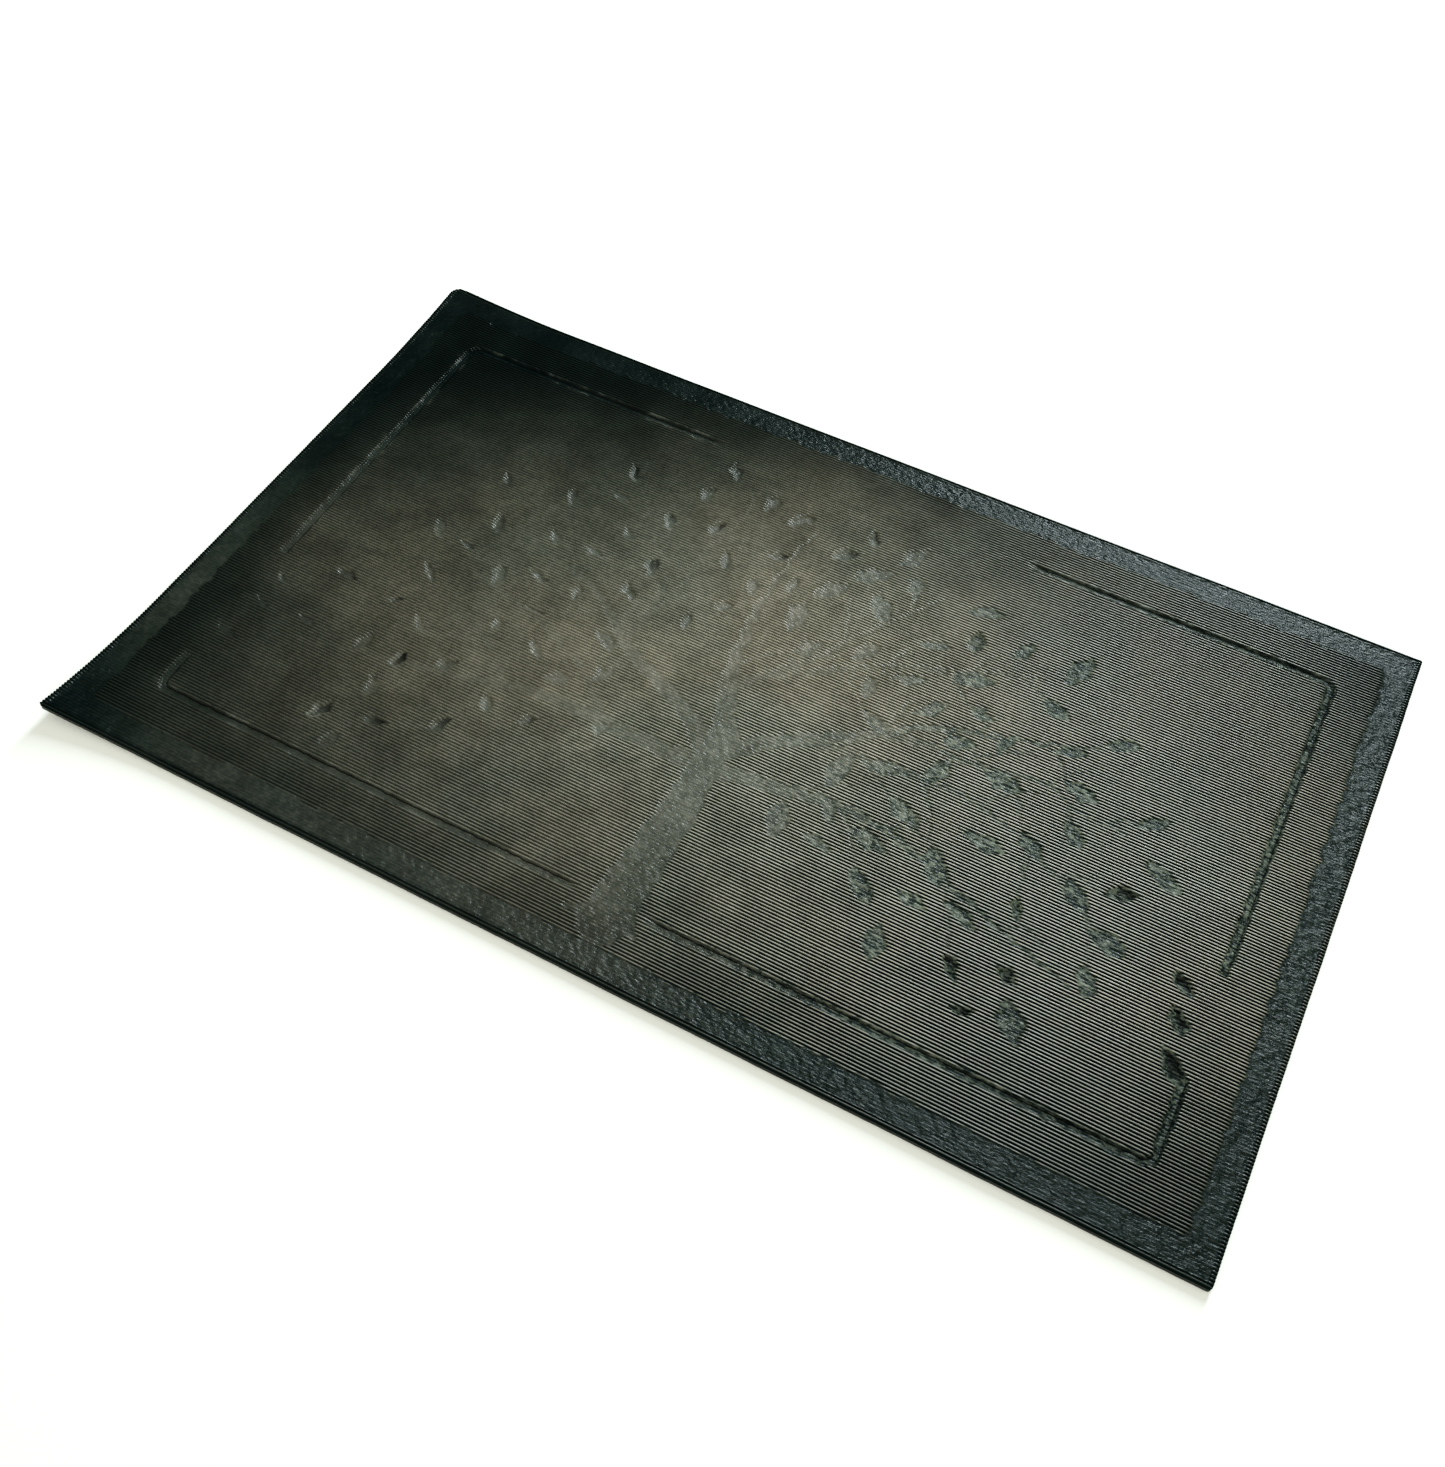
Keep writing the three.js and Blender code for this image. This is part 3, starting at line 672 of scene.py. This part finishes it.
def rib_rows():
    """Places of the rows along Y and the rib height at each, from 0 to 1."""
    places, heights = [], []
    count = int(HALF_WIDTH / RIB_PITCH) + 1
    for index in range(-count, count + 1):
        for share, height in RIB_PROFILE:
            y = (index + share - 0.5) * RIB_PITCH
            inwards = HALF_WIDTH - abs(y)
            if inwards < 0.12:
                continue
            in_band = LIP_WIDTH + 1.5 < inwards < BAND_INNER - 1.5
            if in_band and share not in (0.0, 0.35, 0.65):
                continue
            places.append(y)
            heights.append(height)
    places = [-HALF_WIDTH, *places, HALF_WIDTH]
    heights = [END_HEIGHT, *heights, END_HEIGHT]
    return np.array(places), np.array(heights)


def top_columns():
    """Places of the columns along X, closer at the edges and at the frame line's walls."""
    inner = np.arange(-HALF_LENGTH + 3.2, HALF_LENGTH - 3.0, COLUMN_STEP)
    line = np.array(FRAME_EDGE_COLUMNS) + HALF_LENGTH - FRAME_INSET
    gap = np.abs(np.abs(inner) - (HALF_LENGTH - FRAME_INSET))
    free = (gap > FRAME_EDGE_COLUMNS[-1] + 0.1) | (gap < FRAME_EDGE_COLUMNS[-4] - 0.1)
    edges = HALF_LENGTH - np.array(EDGE_COLUMNS)
    return np.sort(np.concatenate((-edges, -line, inner[free], line, edges)))


def spread(mask, rows, columns):
    """Grows a mask by a number of rows and columns."""
    grown = mask.copy()
    for shift in range(1, columns + 1):
        grown[:, shift:] |= mask[:, :-shift]
        grown[:, :-shift] |= mask[:, shift:]
    wide = grown.copy()
    for shift in range(1, rows + 1):
        grown[shift:] |= wide[:-shift]
        grown[:-shift] |= wide[shift:]
    return grown


def corner_radius(x, y):
    """Radius of the outline's corner in each quarter of the mat."""
    front = np.where(x < 0, CORNER_RADII[0], CORNER_RADII[1])
    return np.where(y < 0, front, np.where(x < 0, CORNER_RADII[3], CORNER_RADII[2]))


def top_surface(relief, rib):
    """Height of every grid point of the top and how far the outer edge rolls down there."""
    x, y = relief.x, relief.y
    press = relief.press
    fibres = fractal(x, y, FIBRE_SIZE, 2, 201, turn=FIBRE_TURN, stretch=FIBRE_STRETCH)
    lumps = fractal(x, y, LUMP_SIZE, 2, 211)
    rough = (FIBRE_HEIGHT * fibres + LUMP_HEIGHT * lumps) * (0.6 + 0.4 * smooth((x + 200) / 300))
    rough = rough * (1 - 0.6 * smooth((y - 110) / 30))
    ribbed = TOP - RIB_DEPTH * (1 - rib[:, None])
    pressed = TOP - PRESSED_LEVEL + rough
    z = ribbed * (1 - press) + pressed * press - relief.sink * (1 + 0.3 * fibres)
    z = z + UNEVENNESS * fractal(x, y, UNEVEN_SIZE, 2, 221)
    from_edge = -rounded_distance(x, y, HALF_LENGTH, HALF_WIDTH, corner_radius(x, y))
    roll = np.clip(1 - from_edge / EDGE_ROLL, 0, 1) ** 2
    return np.clip(z - EDGE_DROP * roll, THINNEST_TOP, TOP), roll


def kept_points(relief):
    """Which grid points are kept: all in shaped areas and at the ends, few along plain ribs."""
    kept = spread((relief.press > DETAIL_FROM) | (relief.sink > DETAIL_FROM), 1, 2)
    kept[:, np.arange(len(relief.xs)) % COARSE_COLUMNS == 0] = True
    edge = len(EDGE_COLUMNS) + 1
    kept[:, :edge] = True
    kept[:, -edge:] = True
    return kept


def lay_rows(shell, relief, z, roll, fields):
    """Adds the upper face's points row by row. Returns the rows and the fields at the points."""
    kept, xs = kept_points(relief), relief.xs
    values = {key: [] for key in fields}
    rows = []
    for row, y in enumerate(relief.ys):
        left, right = row_reach(y)
        keep = np.flatnonzero(kept[row] & (xs > left + END_MARGIN) & (xs < right - END_MARGIN))
        columns = np.concatenate(([keep[0] - 0.5], keep, [keep[-1] + 0.5]))
        near = np.concatenate(([keep[0]], keep, [keep[-1]]))
        row_x = np.concatenate(([left], xs[keep], [right]))
        row_z = z[row, near]
        row_z[[0, -1]] -= EDGE_DROP * (1 - roll[row, near[[0, -1]]])
        ids = shell.add_points(row_x, np.full(len(row_x), y), row_z)
        for key, field in fields.items():
            values[key].append(field[row, near])
        rows.append((columns, ids))
    return rows, {key: np.concatenate(parts) for key, parts in values.items()}


def zip_top(shell, rows):
    """Adds the faces between neighbouring rows of the upper face."""
    for (columns_a, ids_a), (columns_b, ids_b) in zip(rows[:-1], rows[1:]):
        last = max(columns_a[-1], columns_b[-1])
        shell.zip_rows([*columns_a[:-1], last], ids_a, [*columns_b[:-1], last], ids_b)


def close_below(shell, rows):
    """Adds the cut edge and the underside to the upper face."""
    outline = np.concatenate((rows[0][1], [ids[-1] for _, ids in rows[1:-1]], rows[-1][1][::-1],
                              [ids[0] for _, ids in rows[-2:0:-1]]))
    points = np.concatenate(shell.points)[outline]
    flat_x, flat_y = points[:, 3], points[:, 4]
    top_z = points[:, 2] - drape(flat_x, flat_y)
    low_z = roof(flat_x, flat_y)
    places, order = from_start(loop_places(flat_x, flat_y), np.arange(len(outline)))
    rings = [outline[order]]
    for share in EDGE_RINGS:
        ring_z = top_z + (low_z - top_z) * share
        rings.append(shell.add_points(flat_x[order], flat_y[order], ring_z[order]))
    for upper, lower in zip(rings[:-1], rings[1:]):
        shell.zip_loops(places, lower, places, upper)
    border = shell.patch(*inner_grid(), roof, faces_up=False)
    shell.zip_loops(*shell.in_order(border), places, rings[-1])


def build_top_sheet():
    """The ribbed cover. Its edge and underside count as pressed, and have no other field."""
    ys, rib = rib_rows()
    relief = Relief(top_columns(), ys)
    z, roll = top_surface(relief, rib)
    crest = np.broadcast_to(np.clip((rib[:, None] - 0.6) / 0.4, 0, 1), z.shape)
    fields = {"press": relief.press, "border": relief.border, "crest": crest,
              "sink": relief.sink, "wear_and_highlight": relief.wear_and_highlight, "dust_and_sheen": relief.dust_and_sheen}
    shell = Shell()
    rows, laid = lay_rows(shell, relief, z, roll, fields)
    zip_top(shell, rows)
    top_faces = len(shell.faces)
    close_below(shell, rows)
    filled = {}
    for key, values in laid.items():
        filled[key] = np.full(shell.count, 1.0 if key == "press" else 0.0)
        filled[key][:len(values)] = values
    return shell.make("top_sheet_rubber", filled, top_faces)


# ---- Bottom sheet and film ----

RING_STEP = 1.5
CORNER_POINTS = 7
STEADY_REACH = 90.0
FILM_INSETS = (1.0, 6.0, 11.0, 16.0, 21.0, 26.0, 31.0, 35.5)
FILM_GAP = (-82.0, -58.0)


def outline_loop():
    """Flat points round the mat's outline, anticlockwise from the front left corner."""
    corners = ((-1, -1, CORNER_RADII[0]), (1, -1, CORNER_RADII[1]),
               (1, 1, CORNER_RADII[2]), (-1, 1, CORNER_RADII[3]))
    points = []
    for index, (side_x, side_y, radius) in enumerate(corners):
        centre = (side_x * (HALF_LENGTH - radius), side_y * (HALF_WIDTH - radius))
        start = math.pi + index * math.pi / 2
        for angle in np.linspace(start, start + math.pi / 2, CORNER_POINTS):
            points.append((centre[0] + radius * math.cos(angle), centre[1] + radius * math.sin(angle)))
    loop = []
    for here, there in zip(points, points[1:] + points[:1]):
        count = max(1, int(math.dist(here, there) / RING_STEP))
        for step in range(count):
            share = step / count
            loop.append((here[0] + (there[0] - here[0]) * share, here[1] + (there[1] - here[1]) * share))
    return np.array(loop)


def drawn_in(place, half, inset):
    """Draws a place along one axis in by up to inset. Near the middle it stays."""
    beyond = np.clip(np.abs(place) - STEADY_REACH, 0, None)
    kept = np.minimum(np.abs(place), STEADY_REACH)
    return np.sign(place) * (kept + beyond * (half - inset - STEADY_REACH) / (half - STEADY_REACH))


def inset_loop(loop, inset):
    """The loop drawn in from the edge by inset."""
    return np.column_stack((drawn_in(loop[:, 0], HALF_LENGTH, inset),
                            drawn_in(loop[:, 1], HALF_WIDTH, inset)))


def stacked_shell(name, levels, upper, lower):
    """A closed sheet: rings at (inset, height) from the top down, with a grid over each end."""
    shell = Shell()
    loop = outline_loop()
    places, order = from_start(loop_places(loop[:, 0], loop[:, 1]), np.arange(len(loop)))
    loop = loop[order]
    rings = []
    for inset, height in levels:
        ring = inset_loop(loop, inset)
        rings.append(shell.add_points(ring[:, 0], ring[:, 1], height(ring[:, 0], ring[:, 1])))
    for above, below in zip(rings[:-1], rings[1:]):
        shell.zip_loops(places, below, places, above)
    for height, ring, faces_up in ((upper, rings[0], True), (lower, rings[-1], False)):
        border = shell.in_order(shell.patch(*inner_grid(), height, faces_up))
        loops = ((places, ring), border) if faces_up else (border, (places, ring))
        shell.zip_loops(*loops[0], *loops[1])
    return shell.make(name)


def level(z):
    return lambda x, y: np.full(np.shape(x), z)


def build_bottom_sheet():
    def share_of_edge(share):
        return lambda x, y: ground(x, y) * share

    levels = ((0.0, ground), (0.05, share_of_edge(0.55)), (0.0, share_of_edge(0.2)), (0.35, level(0.0)))
    return stacked_shell("bottom_sheet_rubber", levels, ground, level(0.0))


def build_bond_film():
    """The film between the sheets: a flat band round the rim, open where the inlet sits."""
    shell = Shell()
    loop = outline_loop()
    at_inlet = (loop[:, 0] < 0) & (loop[:, 1] > FILM_GAP[0]) & (loop[:, 1] < FILM_GAP[1])
    on_left = np.abs(loop[:, 0] + HALF_LENGTH) < 0.01
    gap = np.flatnonzero(at_inlet & on_left)
    loop = np.roll(loop, -gap[-1] - 1, axis=0)[:len(loop) - len(gap)]
    rings = []
    upper = [(inset, FILM_HIGH) for inset in FILM_INSETS]
    lower = [(inset, FILM_LOW) for inset in FILM_INSETS[::-1]]
    for inset, z in upper + lower:
        ring = inset_loop(loop, inset)
        rings.append(shell.add_points(ring[:, 0], ring[:, 1], np.full(len(ring), z)))
    for outer, inner in zip(rings, rings[1:] + rings[:1]):
        for step in range(len(loop) - 1):
            shell.faces.append((outer[step], outer[step + 1], inner[step + 1], inner[step]))
    last = len(rings) - 1
    for step in range(len(FILM_INSETS) - 1):
        for end, turned in ((0, False), (-1, True)):
            face = (rings[step][end], rings[step + 1][end],
                    rings[last - step - 1][end], rings[last - step][end])
            shell.faces.append(face[::-1] if turned else face)
    return shell.make("bond_film_band")


# ---- Materials ----

# How much dust shows where it lies as an even haze
HAZE = 0.50


def colour(red, green, blue):
    return (red, green, blue, 1.0)


class Look:
    """The shader nodes of a material or of the world, as they are put together."""

    def __init__(self, owner):
        owner.use_nodes = True
        self.owner, self.tree = owner, owner.node_tree
        self.shader = self.tree.nodes.get("Principled BSDF") or self.tree.nodes["Background"]
        spots = self.add("TexCoord").outputs
        self.place, self.way = spots["Object"], spots["Generated"]

    def set(self, socket, value):
        """Gives an input its value: a number, a colour or another node's output."""
        if isinstance(value, bpy.types.NodeSocket):
            self.tree.links.new(value, socket)
        else:
            socket.default_value = value

    def feed(self, key, value):
        self.set(self.shader.inputs[key], value)

    def add(self, kind, inputs=None, **settings):
        """Adds a node and gives its inputs their values."""
        node = self.tree.nodes.new("ShaderNode" + kind)
        for key, value in settings.items():
            setattr(node, key, value)
        for key, value in (inputs or {}).items():
            self.set(node.inputs[key], value)
        return node

    def attribute(self, name):
        return self.add("Attribute", attribute_name=name).outputs["Fac"]

    def math(self, operation, a, b=0.0, clamp=False):
        return self.add("Math", {0: a, 1: b}, operation=operation, use_clamp=clamp).outputs[0]

    def times(self, a, b, clamp=False):
        return self.math("MULTIPLY", a, b, clamp)

    def noise(self, scale, detail=3.0, roughness=0.55, place=None):
        inputs = {"Vector": place or self.place, "Scale": scale, "Detail": detail, "Roughness": roughness}
        return self.add("TexNoise", inputs).outputs["Fac"]

    def range(self, value, low, high, to_low=0.0, to_high=1.0):
        inputs = {"Value": value, "From Min": low, "From Max": high, "To Min": to_low, "To Max": to_high}
        return self.add("MapRange", inputs, interpolation_type="SMOOTHSTEP").outputs["Result"]

    def blend(self, share, first, second):
        """A number between two others."""
        return self.add("Mix", {0: share, 2: first, 3: second}, data_type="FLOAT").outputs[0]

    def mix(self, share, first, second):
        """A colour between two others."""
        return self.add("Mix", {0: share, 6: first, 7: second}, data_type="RGBA").outputs[2]

    def tone(self, share, dark, light):
        return self.mix(share, colour(*dark), colour(*light))

    def dress(self, tone, gloss, height, strength, distance):
        """Gives a material its tone, its roughness and its fine relief."""
        relief = self.add("Bump", {"Height": height, "Strength": strength, "Distance": distance})
        self.feed("Base Color", tone)
        self.feed("Roughness", gloss)
        self.feed("Normal", relief.outputs["Normal"])


def top_rubber():
    """Black rubber under dust, with painted light: dust and a painted highlight on the rib crests to the
    right, an even haze to the left, painted shade in the deepest dents.
    """
    look = Look(bpy.data.materials.new("ribbed_black_rubber"))
    press, border, crest = (look.attribute(name) for name in ("press", "border", "crest"))
    sink, wear_and_highlight, settled = (look.attribute(name) for name in ("sink", "wear_and_highlight", "dust_and_sheen"))

    cloud = look.noise(9.0, 3.0)
    patches = look.noise(55.0, 4.0)
    grain = look.noise(2600.0, 2.0, 0.6)
    turned = look.add("Mapping", {"Vector": look.place, "Rotation": (0, 0, math.radians(40)),
                                        "Scale": (0.4, 1.0, 1.0)}).outputs["Vector"]
    creases = look.noise(750.0, 3.0, 0.65, turned)
    mottle = look.noise(420.0, 3.0, 0.65)
    axes = look.add("SeparateXYZ", {0: look.place}).outputs
    across = axes["X"]
    slanted = look.math("SUBTRACT", across, look.times(axes["Y"], 0.45))
    wandering = look.math("ADD", slanted, look.range(cloud, 0.2, 0.8, -0.05, 0.05))
    clear = look.range(wandering, -0.14, 0.17, 0.06, 1.0)

    black = look.tone(look.range(patches, 0.35, 0.7),
                      (0.0016, 0.0070, 0.0064), (0.0036, 0.0105, 0.0096))
    dust_colour = look.tone(look.range(cloud, 0.4, 0.6),
                            (0.500, 0.455, 0.385), (0.440, 0.428, 0.372))
    crushed_colour = colour(0.345, 0.375, 0.310)
    # Dust on the rib crests to the right, kept out of the valleys: partly real dust, partly a painted
    # highlight on the crests and painted shade in the valleys.
    crest_dust_and_highlight = look.range(crest, 0.45, 1.0)
    streaks = look.range(creases, 0.44, 0.60, 0.04, 0.62)
    ridges = look.blend(look.range(across, 0.0, 0.10, 0.25, 1.0), 0.27, streaks)
    ribbed = look.blend(clear, HAZE, crest_dust_and_highlight)
    bare = look.math("MAXIMUM", clear, look.times(border, 0.7))
    crushed = look.blend(bare, 0.8 * HAZE, ridges)
    # settled carries the dust and the painted sheen.
    uneven = look.times(settled, look.range(patches, 0.25, 0.7, 0.75, 1.0))
    uneven = look.times(uneven, look.range(mottle, 0.3, 0.7, 0.84, 1.14))
    share = look.times(look.blend(press, ribbed, crushed), uneven)
    greener = look.times(press, look.range(across, 0.02, 0.12))
    soil = look.mix(greener, dust_colour, crushed_colour)
    dust_and_painted_light = look.mix(share, black, soil)
    # Light rims by the dents and the frame line: partly wear, partly painted highlight.
    scuff_and_highlight = look.times(wear_and_highlight, look.range(patches, 0.5, 0.75), clamp=True)
    worn_and_highlit = look.mix(look.times(scuff_and_highlight, 0.45), dust_and_painted_light, colour(0.20, 0.20, 0.185))
    # Painted shade: the deepest parts of the dents and of the frame line are darkened to near black and
    # lose their gloss.
    pit_shade = look.range(sink, 0.7, 1.2, 0.0, 0.85)
    final = look.mix(pit_shade, worn_and_highlit, colour(0.002, 0.003, 0.003))
    look.feed("Base Color", final)

    look.feed("Roughness", look.range(patches, 0.3, 0.7, 0.27, 0.36))
    flats = look.math("MAXIMUM", look.times(press, 0.12),
                      look.range(crest, 0.8, 1.0))
    shine = look.blend(look.math("MAXIMUM", flats, look.times(border, 0.4)),
                       0.02, 0.34)
    dulled = look.times(shine, look.math("SUBTRACT", 1.0, pit_shade))
    look.feed("Specular IOR Level", dulled)
    bump_share = look.times(press, look.range(across, -0.25, 0.05, 0.35, 0.85))
    crease_bump = look.add("Bump", {"Height": creases, "Distance": 0.0009, "Strength": bump_share})
    fine = look.add("Bump", {"Height": grain, "Strength": 0.15, "Distance": 0.00008,
                                   "Normal": crease_bump.outputs["Normal"]})
    look.feed("Normal", fine.outputs["Normal"])
    return look.owner


def base_rubber():
    """Plain black rubber with a fine grain."""
    look = Look(bpy.data.materials.new("plain_black_rubber"))
    patches = look.noise(60.0, 4.0)
    grain = look.noise(1500.0, 3.0, 0.6)
    black = look.tone(look.range(patches, 0.35, 0.7),
                      (0.010, 0.011, 0.011), (0.022, 0.023, 0.022))
    look.dress(black, look.range(patches, 0.3, 0.7, 0.6, 0.8), grain, 0.5, 0.0002)
    return look.owner


def mottled(name, dark, light, size, rough, metal=0.0, bump=0.3):
    """A material whose tone, gloss and fine relief vary over spots of about size mm."""
    look = Look(bpy.data.materials.new(name))
    spots = look.noise(1 / (size * MM), 4.0)
    grain = look.noise(8 / (size * MM), 3.0, 0.65)
    tone = look.tone(look.range(spots, 0.3, 0.7), dark, light)
    gloss = look.range(spots, 0.3, 0.7, rough - 0.06, rough + 0.06)
    look.feed("Metallic", metal)
    look.dress(tone, gloss, grain, bump, 0.02 * size * MM)
    return look.owner


def foam():
    """Pale grey closed-cell foam."""
    look = Look(bpy.data.materials.new("pale_foam"))
    cells = look.add("TexVoronoi", {"Vector": look.place, "Scale": 1500.0}).outputs["Distance"]
    tone = look.tone(look.range(cells, 0.1, 0.6), (0.40, 0.40, 0.39), (0.66, 0.66, 0.64))
    look.dress(tone, 0.85, cells, 0.6, 0.0002)
    return look.owner


def tape_cloth():
    """Woven glass tape."""
    look = Look(bpy.data.materials.new("woven_tape"))
    weft, warp = (look.add("TexWave", {"Vector": look.place, "Scale": 320.0},
                           bands_direction=way).outputs["Fac"] for way in "XY")
    weave = look.times(weft, warp)
    tone = look.tone(weave, (0.42, 0.36, 0.22), (0.74, 0.69, 0.54))
    look.dress(tone, 0.7, weave, 0.5, 0.0001)
    return look.owner


def foil():
    """Crinkled aluminium foil."""
    look = Look(bpy.data.materials.new("crinkled_foil"))
    cells = look.add("TexVoronoi", {"Vector": look.place, "Scale": 140.0}, feature="F2")
    haze = look.noise(60.0, 4.0)
    tone = look.tone(haze, (0.72, 0.73, 0.74), (0.86, 0.86, 0.86))
    look.feed("Metallic", 1.0)
    gloss = look.range(haze, 0.3, 0.7, 0.2, 0.38)
    look.dress(tone, gloss, cells.outputs["Distance"], 0.4, 0.0006)
    return look.owner


def finish_inner_parts():
    """Gives the heater parts and the inlet, kept from the CAD, their materials."""
    parts = (
        (foam(), "insulation_pad"),
        (foil(), "spreader_foil"),
        (tape_cloth(), "tape_left", "tape_centre", "tape_right"),
        (mottled("polyester_film", (0.50, 0.42, 0.26), (0.66, 0.58, 0.40), 30.0, 0.25, bump=0.1),
         "carrier_film", "upper_film"),
        (mottled("resistance_wire", (0.30, 0.28, 0.26), (0.56, 0.54, 0.51), 1.0, 0.3, metal=1.0),
         "heating_core"),
        (mottled("red_silicone", (0.30, 0.045, 0.03), (0.44, 0.08, 0.05), 3.0, 0.5), "heating_jacket"),
        (mottled("crimp_brass", (0.48, 0.30, 0.10), (0.80, 0.58, 0.26), 1.2, 0.32, metal=1.0),
         "crimp_live", "crimp_cutoff", "crimp_neutral", "inlet_pin_live", "inlet_pin_neutral"),
        (mottled("shrink_tube", (0.012, 0.012, 0.013), (0.035, 0.034, 0.034), 1.5, 0.42),
         "shrink_live", "shrink_cutoff", "shrink_neutral", "cutoff_sleeve"),
        (mottled("fuse_case", (0.55, 0.54, 0.50), (0.76, 0.75, 0.71), 1.5, 0.35), "thermal_cutoff"),
        (mottled("live_pvc", (0.16, 0.07, 0.03), (0.25, 0.12, 0.055), 2.0, 0.45), "live_lead"),
        (mottled("neutral_pvc", (0.02, 0.07, 0.27), (0.04, 0.13, 0.40), 2.0, 0.45), "neutral_lead"),
        (mottled("grommet_rubber", (0.008, 0.008, 0.008), (0.022, 0.022, 0.021), 2.0, 0.65),
         "lead_grommet"),
        (mottled("inlet_nylon", (0.010, 0.010, 0.011), (0.028, 0.028, 0.030), 1.5, 0.5),
         "inlet_housing"),
    )
    for material, *names in parts:
        for name in names:
            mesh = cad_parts[name].data
            mesh.materials.clear()
            mesh.materials.append(material)


# ---- Put the object together ----


def place_piece(piece, material, slot, *nodes):
    piece.data.materials.append(material)
    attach(piece, "root")
    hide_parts(*nodes)


place_piece(build_top_sheet(), top_rubber(), "ribbed_rubber", "top_sheet")
place_piece(build_bottom_sheet(), base_rubber(), "base_rubber", "bottom_sheet")
bond_film = mottled("bond_film", (0.012, 0.012, 0.012), (0.030, 0.029, 0.027), 6.0, 0.55)
place_piece(build_bond_film(), bond_film, "bond_film", "seam_adhesive")
finish_inner_parts()


# ---- Floor, light and camera, in metres ----

FLOOR_HALF = 15.0
FLOOR_DROP = 0.0002
# Between these distances the floor blends into the pale wall behind it
FLOOR_FADE = (1.0, 4.0)

ROOM_LIGHT_FROM = (0.25, -0.72, 0.65)
ROOM_DARK = (0.020, 0.050, 0.048)
ROOM_LIGHT = (1.27, 1.29, 1.12)
ROOM_WALL = (0.93, 0.94, 0.93)

WINDOW_AZIMUTH = 3.0
WINDOW_ELEVATION = 34.0
WINDOW_DISTANCE = 3.2
WINDOW_SIZE = (0.66, 2.1)
WINDOW_POWER = 108.0
WINDOW_TINT = (0.90, 1.0, 1.02)

CAMERA_AZIMUTH = 25.57
CAMERA_ELEVATION = 54.48
CAMERA_ROLL = 2.66
CAMERA_DISTANCE = 0.6592
CAMERA_AIM = (0.0005, -0.0298)
SENSOR = 36.0
FOCAL = 38.43

# Brightness before and after the picture's contrast curve
RESPONSE = ((0.03, 0.016), (0.12, 0.115), (0.30, 0.345))


def build_floor():
    mesh = bpy.data.meshes.new("floor")
    sides = ((-1, -1), (1, -1), (1, 1), (-1, 1))
    corners = [(x * FLOOR_HALF, y * FLOOR_HALF, -FLOOR_DROP) for x, y in sides]
    mesh.from_pydata(corners, [], [(0, 1, 2, 3)])
    floor = new_object("floor", mesh)
    look = Look(bpy.data.materials.new("pale_floor"))
    cloud = look.noise(3.0, 2.0)
    tint = look.tone(cloud, (0.88, 0.88, 0.87), (0.90, 0.90, 0.895))
    look.feed("Base Color", tint)
    look.feed("Roughness", 0.8)
    away = look.add("VectorMath", {0: look.place}, operation="LENGTH").outputs["Value"]
    seen = look.add("LightPath").outputs["Is Camera Ray"]
    share = look.times(seen, look.range(away, *FLOOR_FADE))
    wall = look.add("Emission", {"Color": colour(*ROOM_WALL)})
    mixed = look.add("MixShader", {0: share, 1: look.shader.outputs[0], 2: wall.outputs[0]})
    look.tree.links.new(mixed.outputs[0], look.tree.nodes["Material Output"].inputs["Surface"])
    floor.data.materials.append(look.owner)


def build_world():
    """A dim room that is bright over and behind the camera. The camera sees it as a pale wall."""
    look = Look(bpy.data.worlds.new("studio"))
    facing = look.add("VectorMath", {0: look.way, 1: ROOM_LIGHT_FROM}, operation="DOT_PRODUCT")
    share = look.range(facing.outputs["Value"], -0.05, 0.75)
    tint = look.tone(share, ROOM_DARK, ROOM_LIGHT)
    seen = look.add("LightPath").outputs["Is Camera Ray"]
    wall = look.mix(seen, tint, colour(*ROOM_WALL))
    look.feed("Color", wall)
    bpy.context.scene.world = look.owner


def direction(azimuth, elevation, side):
    """The way seen from the mat at an azimuth counted from its back (side 1) or front (side -1)."""
    azimuth, elevation = math.radians(azimuth), math.radians(elevation)
    return Vector((math.sin(azimuth) * math.cos(elevation),
                   side * math.cos(azimuth) * math.cos(elevation), math.sin(elevation)))


def build_window():
    """A tall window behind the mat that faces it."""
    light = bpy.data.lights.new("window", "AREA")
    light.shape = "RECTANGLE"
    light.size, light.size_y = WINDOW_SIZE
    light.energy = WINDOW_POWER
    light.color = WINDOW_TINT
    lamp = new_object("window", light)
    lamp.location = direction(WINDOW_AZIMUTH, WINDOW_ELEVATION, 1) * WINDOW_DISTANCE
    lamp.rotation_euler = (-lamp.location).to_track_quat("-Z", "Y").to_euler()


def place_camera():
    data = bpy.data.cameras.new("camera")
    data.sensor_width = SENSOR
    data.lens = FOCAL
    camera = new_object("camera", data)
    back = direction(CAMERA_AZIMUTH, CAMERA_ELEVATION, -1)
    aim = Vector((*CAMERA_AIM, TOP * MM))
    facing = (-back).to_track_quat("-Z", "Y").to_matrix().to_4x4()
    roll = Matrix.Rotation(math.radians(CAMERA_ROLL), 4, "Z")
    camera.matrix_world = Matrix.Translation(aim + back * CAMERA_DISTANCE) @ facing @ roll
    bpy.context.scene.camera = camera


def set_response():
    """Gives the picture a phone camera's contrast: darker darks and brighter middle tones."""
    view = bpy.context.scene.view_settings
    view.view_transform = "Standard"
    view.use_curve_mapping = True
    curve = view.curve_mapping.curves[3]
    for seen, shown in RESPONSE:
        curve.points.new(seen, shown)
    view.curve_mapping.update()


build_floor()
build_world()
build_window()
place_camera()
set_response()
